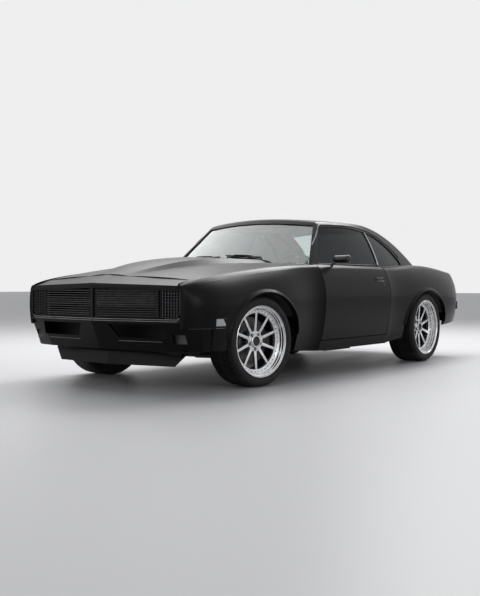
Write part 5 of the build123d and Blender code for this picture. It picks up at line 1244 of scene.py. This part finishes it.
# Running gear: cast knuckles, and aluminised exhaust pipes with rolled bright tips.
pipe_steel = finish_material(
    "pipe_steel", (0.16, 0.14, 0.12), (0.085, 0.062, 0.045), 0.45, drift=0.25, patch=12, grain=600,
    metallic=0.8,
)
paint_nodes(cast_iron, "knuckle_left", "knuckle_right")
paint_nodes(pipe_steel, "exhaust")
pipes = surface_of("exhaust")
last_y = max(vert.co.y for vert in pipes.verts)
bm = bmesh.new()
for side in (1, -1):
    end = [vert.co for vert in pipes.verts if vert.co.y > last_y - 0.002 and vert.co.x * side > 0]
    middle = sum(end, Vector()) / len(end)
    radius = max((point - middle).length for point in end)
    tip = spun(bm, (
        (-0.150, radius + 0.001), (-0.002, radius + 0.004), (0.003, radius + 0.0015), (0.001, radius - 0.003),
        (-0.060, radius - 0.004), (-0.060, radius - 0.001),
    ), steps=48)
    turn = Matrix.Translation(middle) @ Matrix.Rotation(pi / 2, 4, "Z")
    bmesh.ops.transform(bm, matrix=turn, verts=tip)
    # a black disc inside each tip is painted shade of the pipe's bore
    stud(bm, radius - 0.004, 0.001, middle - Vector((0, 0.055, 0)), axis="Y", sides=32, material=1)
pipes.free()
piece(bm, "exhaust_tips", "body", "steel", bright_trim, painted_shade_and_valve_black, sharp=40)

# Cabin fittings: a hooded instrument pod with two dials, air vents, a console with a ball-topped shifter,
# and door cards with armrests and winders. Everything is screwed to the floor, dashboard or doors.
DIAL_Y = -0.316
DIAL_Z = 0.800
DIAL_MARKS = 11
dial_face = finish_material("dial_face", (0.02, 0.02, 0.02), (0.028, 0.028, 0.028), 0.4, patch=60)
dial_print = finish_material("dial_print", (0.6, 0.6, 0.58), (0.5, 0.5, 0.48), 0.5, patch=60)
bm = bmesh.new()
for x in (0.300, 0.450):
    stud(bm, 0.060, 0.014, (x, DIAL_Y - 0.004, DIAL_Z), axis="Y", sides=40, top=0.96, material=1)
    stud(bm, 0.054, 0.002, (x, DIAL_Y + 0.0085, DIAL_Z), axis="Y", sides=40, material=2)
    for mark in range(DIAL_MARKS):
        turn = radians(-135 + 27 * mark)
        spot = (x + 0.045 * sin(turn), DIAL_Y + 0.0110, DIAL_Z + 0.045 * cos(turn))
        block(bm, (0.0020, 0.0006, 0.008), spot, turn=Matrix.Rotation(turn, 4, "Y"), material=3)
    needle = Matrix.Rotation(radians(40), 4, "Y")
    block(bm, (0.0022, 0.001, 0.036), (x - 0.010, DIAL_Y + 0.0115, DIAL_Z - 0.011), turn=needle, material=4)
for x in (-0.560, -0.130, 0.600):
    block(bm, (0.130, 0.012, 0.052), (x, DIAL_Y - 0.004, 0.815), bevel=0.003, material=1)
    for slat in range(4):
        place = (x, DIAL_Y + 0.004, 0.797 + 0.012 * slat)
        block(bm, (0.118, 0.006, 0.003), place, turn=Matrix.Rotation(0.5, 4, "X"))
block(bm, (0.360, 0.006, 0.110), (-0.360, DIAL_Y - 0.002, 0.735), bevel=0.002)
stud(bm, 0.010, 0.010, (-0.360, DIAL_Y, 0.770), axis="Y", sides=20, material=1)
block(bm, (0.200, 0.820, 0.200), (0, 0.080, 0.430), bevel=0.018, segments=4)
block(bm, (0.150, 0.300, 0.006), (0, -0.050, 0.531), bevel=0.002, material=1)
bar(bm, [(0, -0.060, 0.530), (0, -0.050, 0.600), (0, -0.035, 0.665)], 0.0065, material=4)
ball = bmesh.ops.create_uvsphere(bm, u_segments=24, v_segments=16, radius=0.024)["verts"]
bmesh.ops.translate(bm, vec=(0, -0.032, 0.684), verts=ball)
piece(
    bm, "dials_and_console", "body", "interior_plastic", dash_vinyl, gloss_black, dial_face, dial_print,
    bright_trim, sharp=40,
)
for side, name in DOORS:
    bm = bmesh.new()
    inner = TREES[name].ray_cast(Vector((0, 0, 0.6)), Vector((side, 0, 0)))[0].x * side
    block(bm, (0.008, 1.020, 0.480), ((inner - 0.005) * side, -0.030, 0.610), bevel=0.003)
    block(bm, (0.050, 0.340, 0.050), ((inner - 0.034) * side, 0.120, 0.620), bevel=0.012, segments=4)
    handle_x = (inner - 0.036) * side
    winder = [((inner - 0.012) * side, -0.180, 0.560), (handle_x, -0.180, 0.560), (handle_x, -0.090, 0.520)]
    bar(bm, winder, 0.006, material=1)
    stud(bm, 0.012, 0.030, (handle_x - 0.015, -0.090, 0.520), sides=20, material=2)
    piece(bm, f"trim_card_{name}", name, "interior_plastic", dash_vinyl, bright_trim, gloss_black, sharp=40)
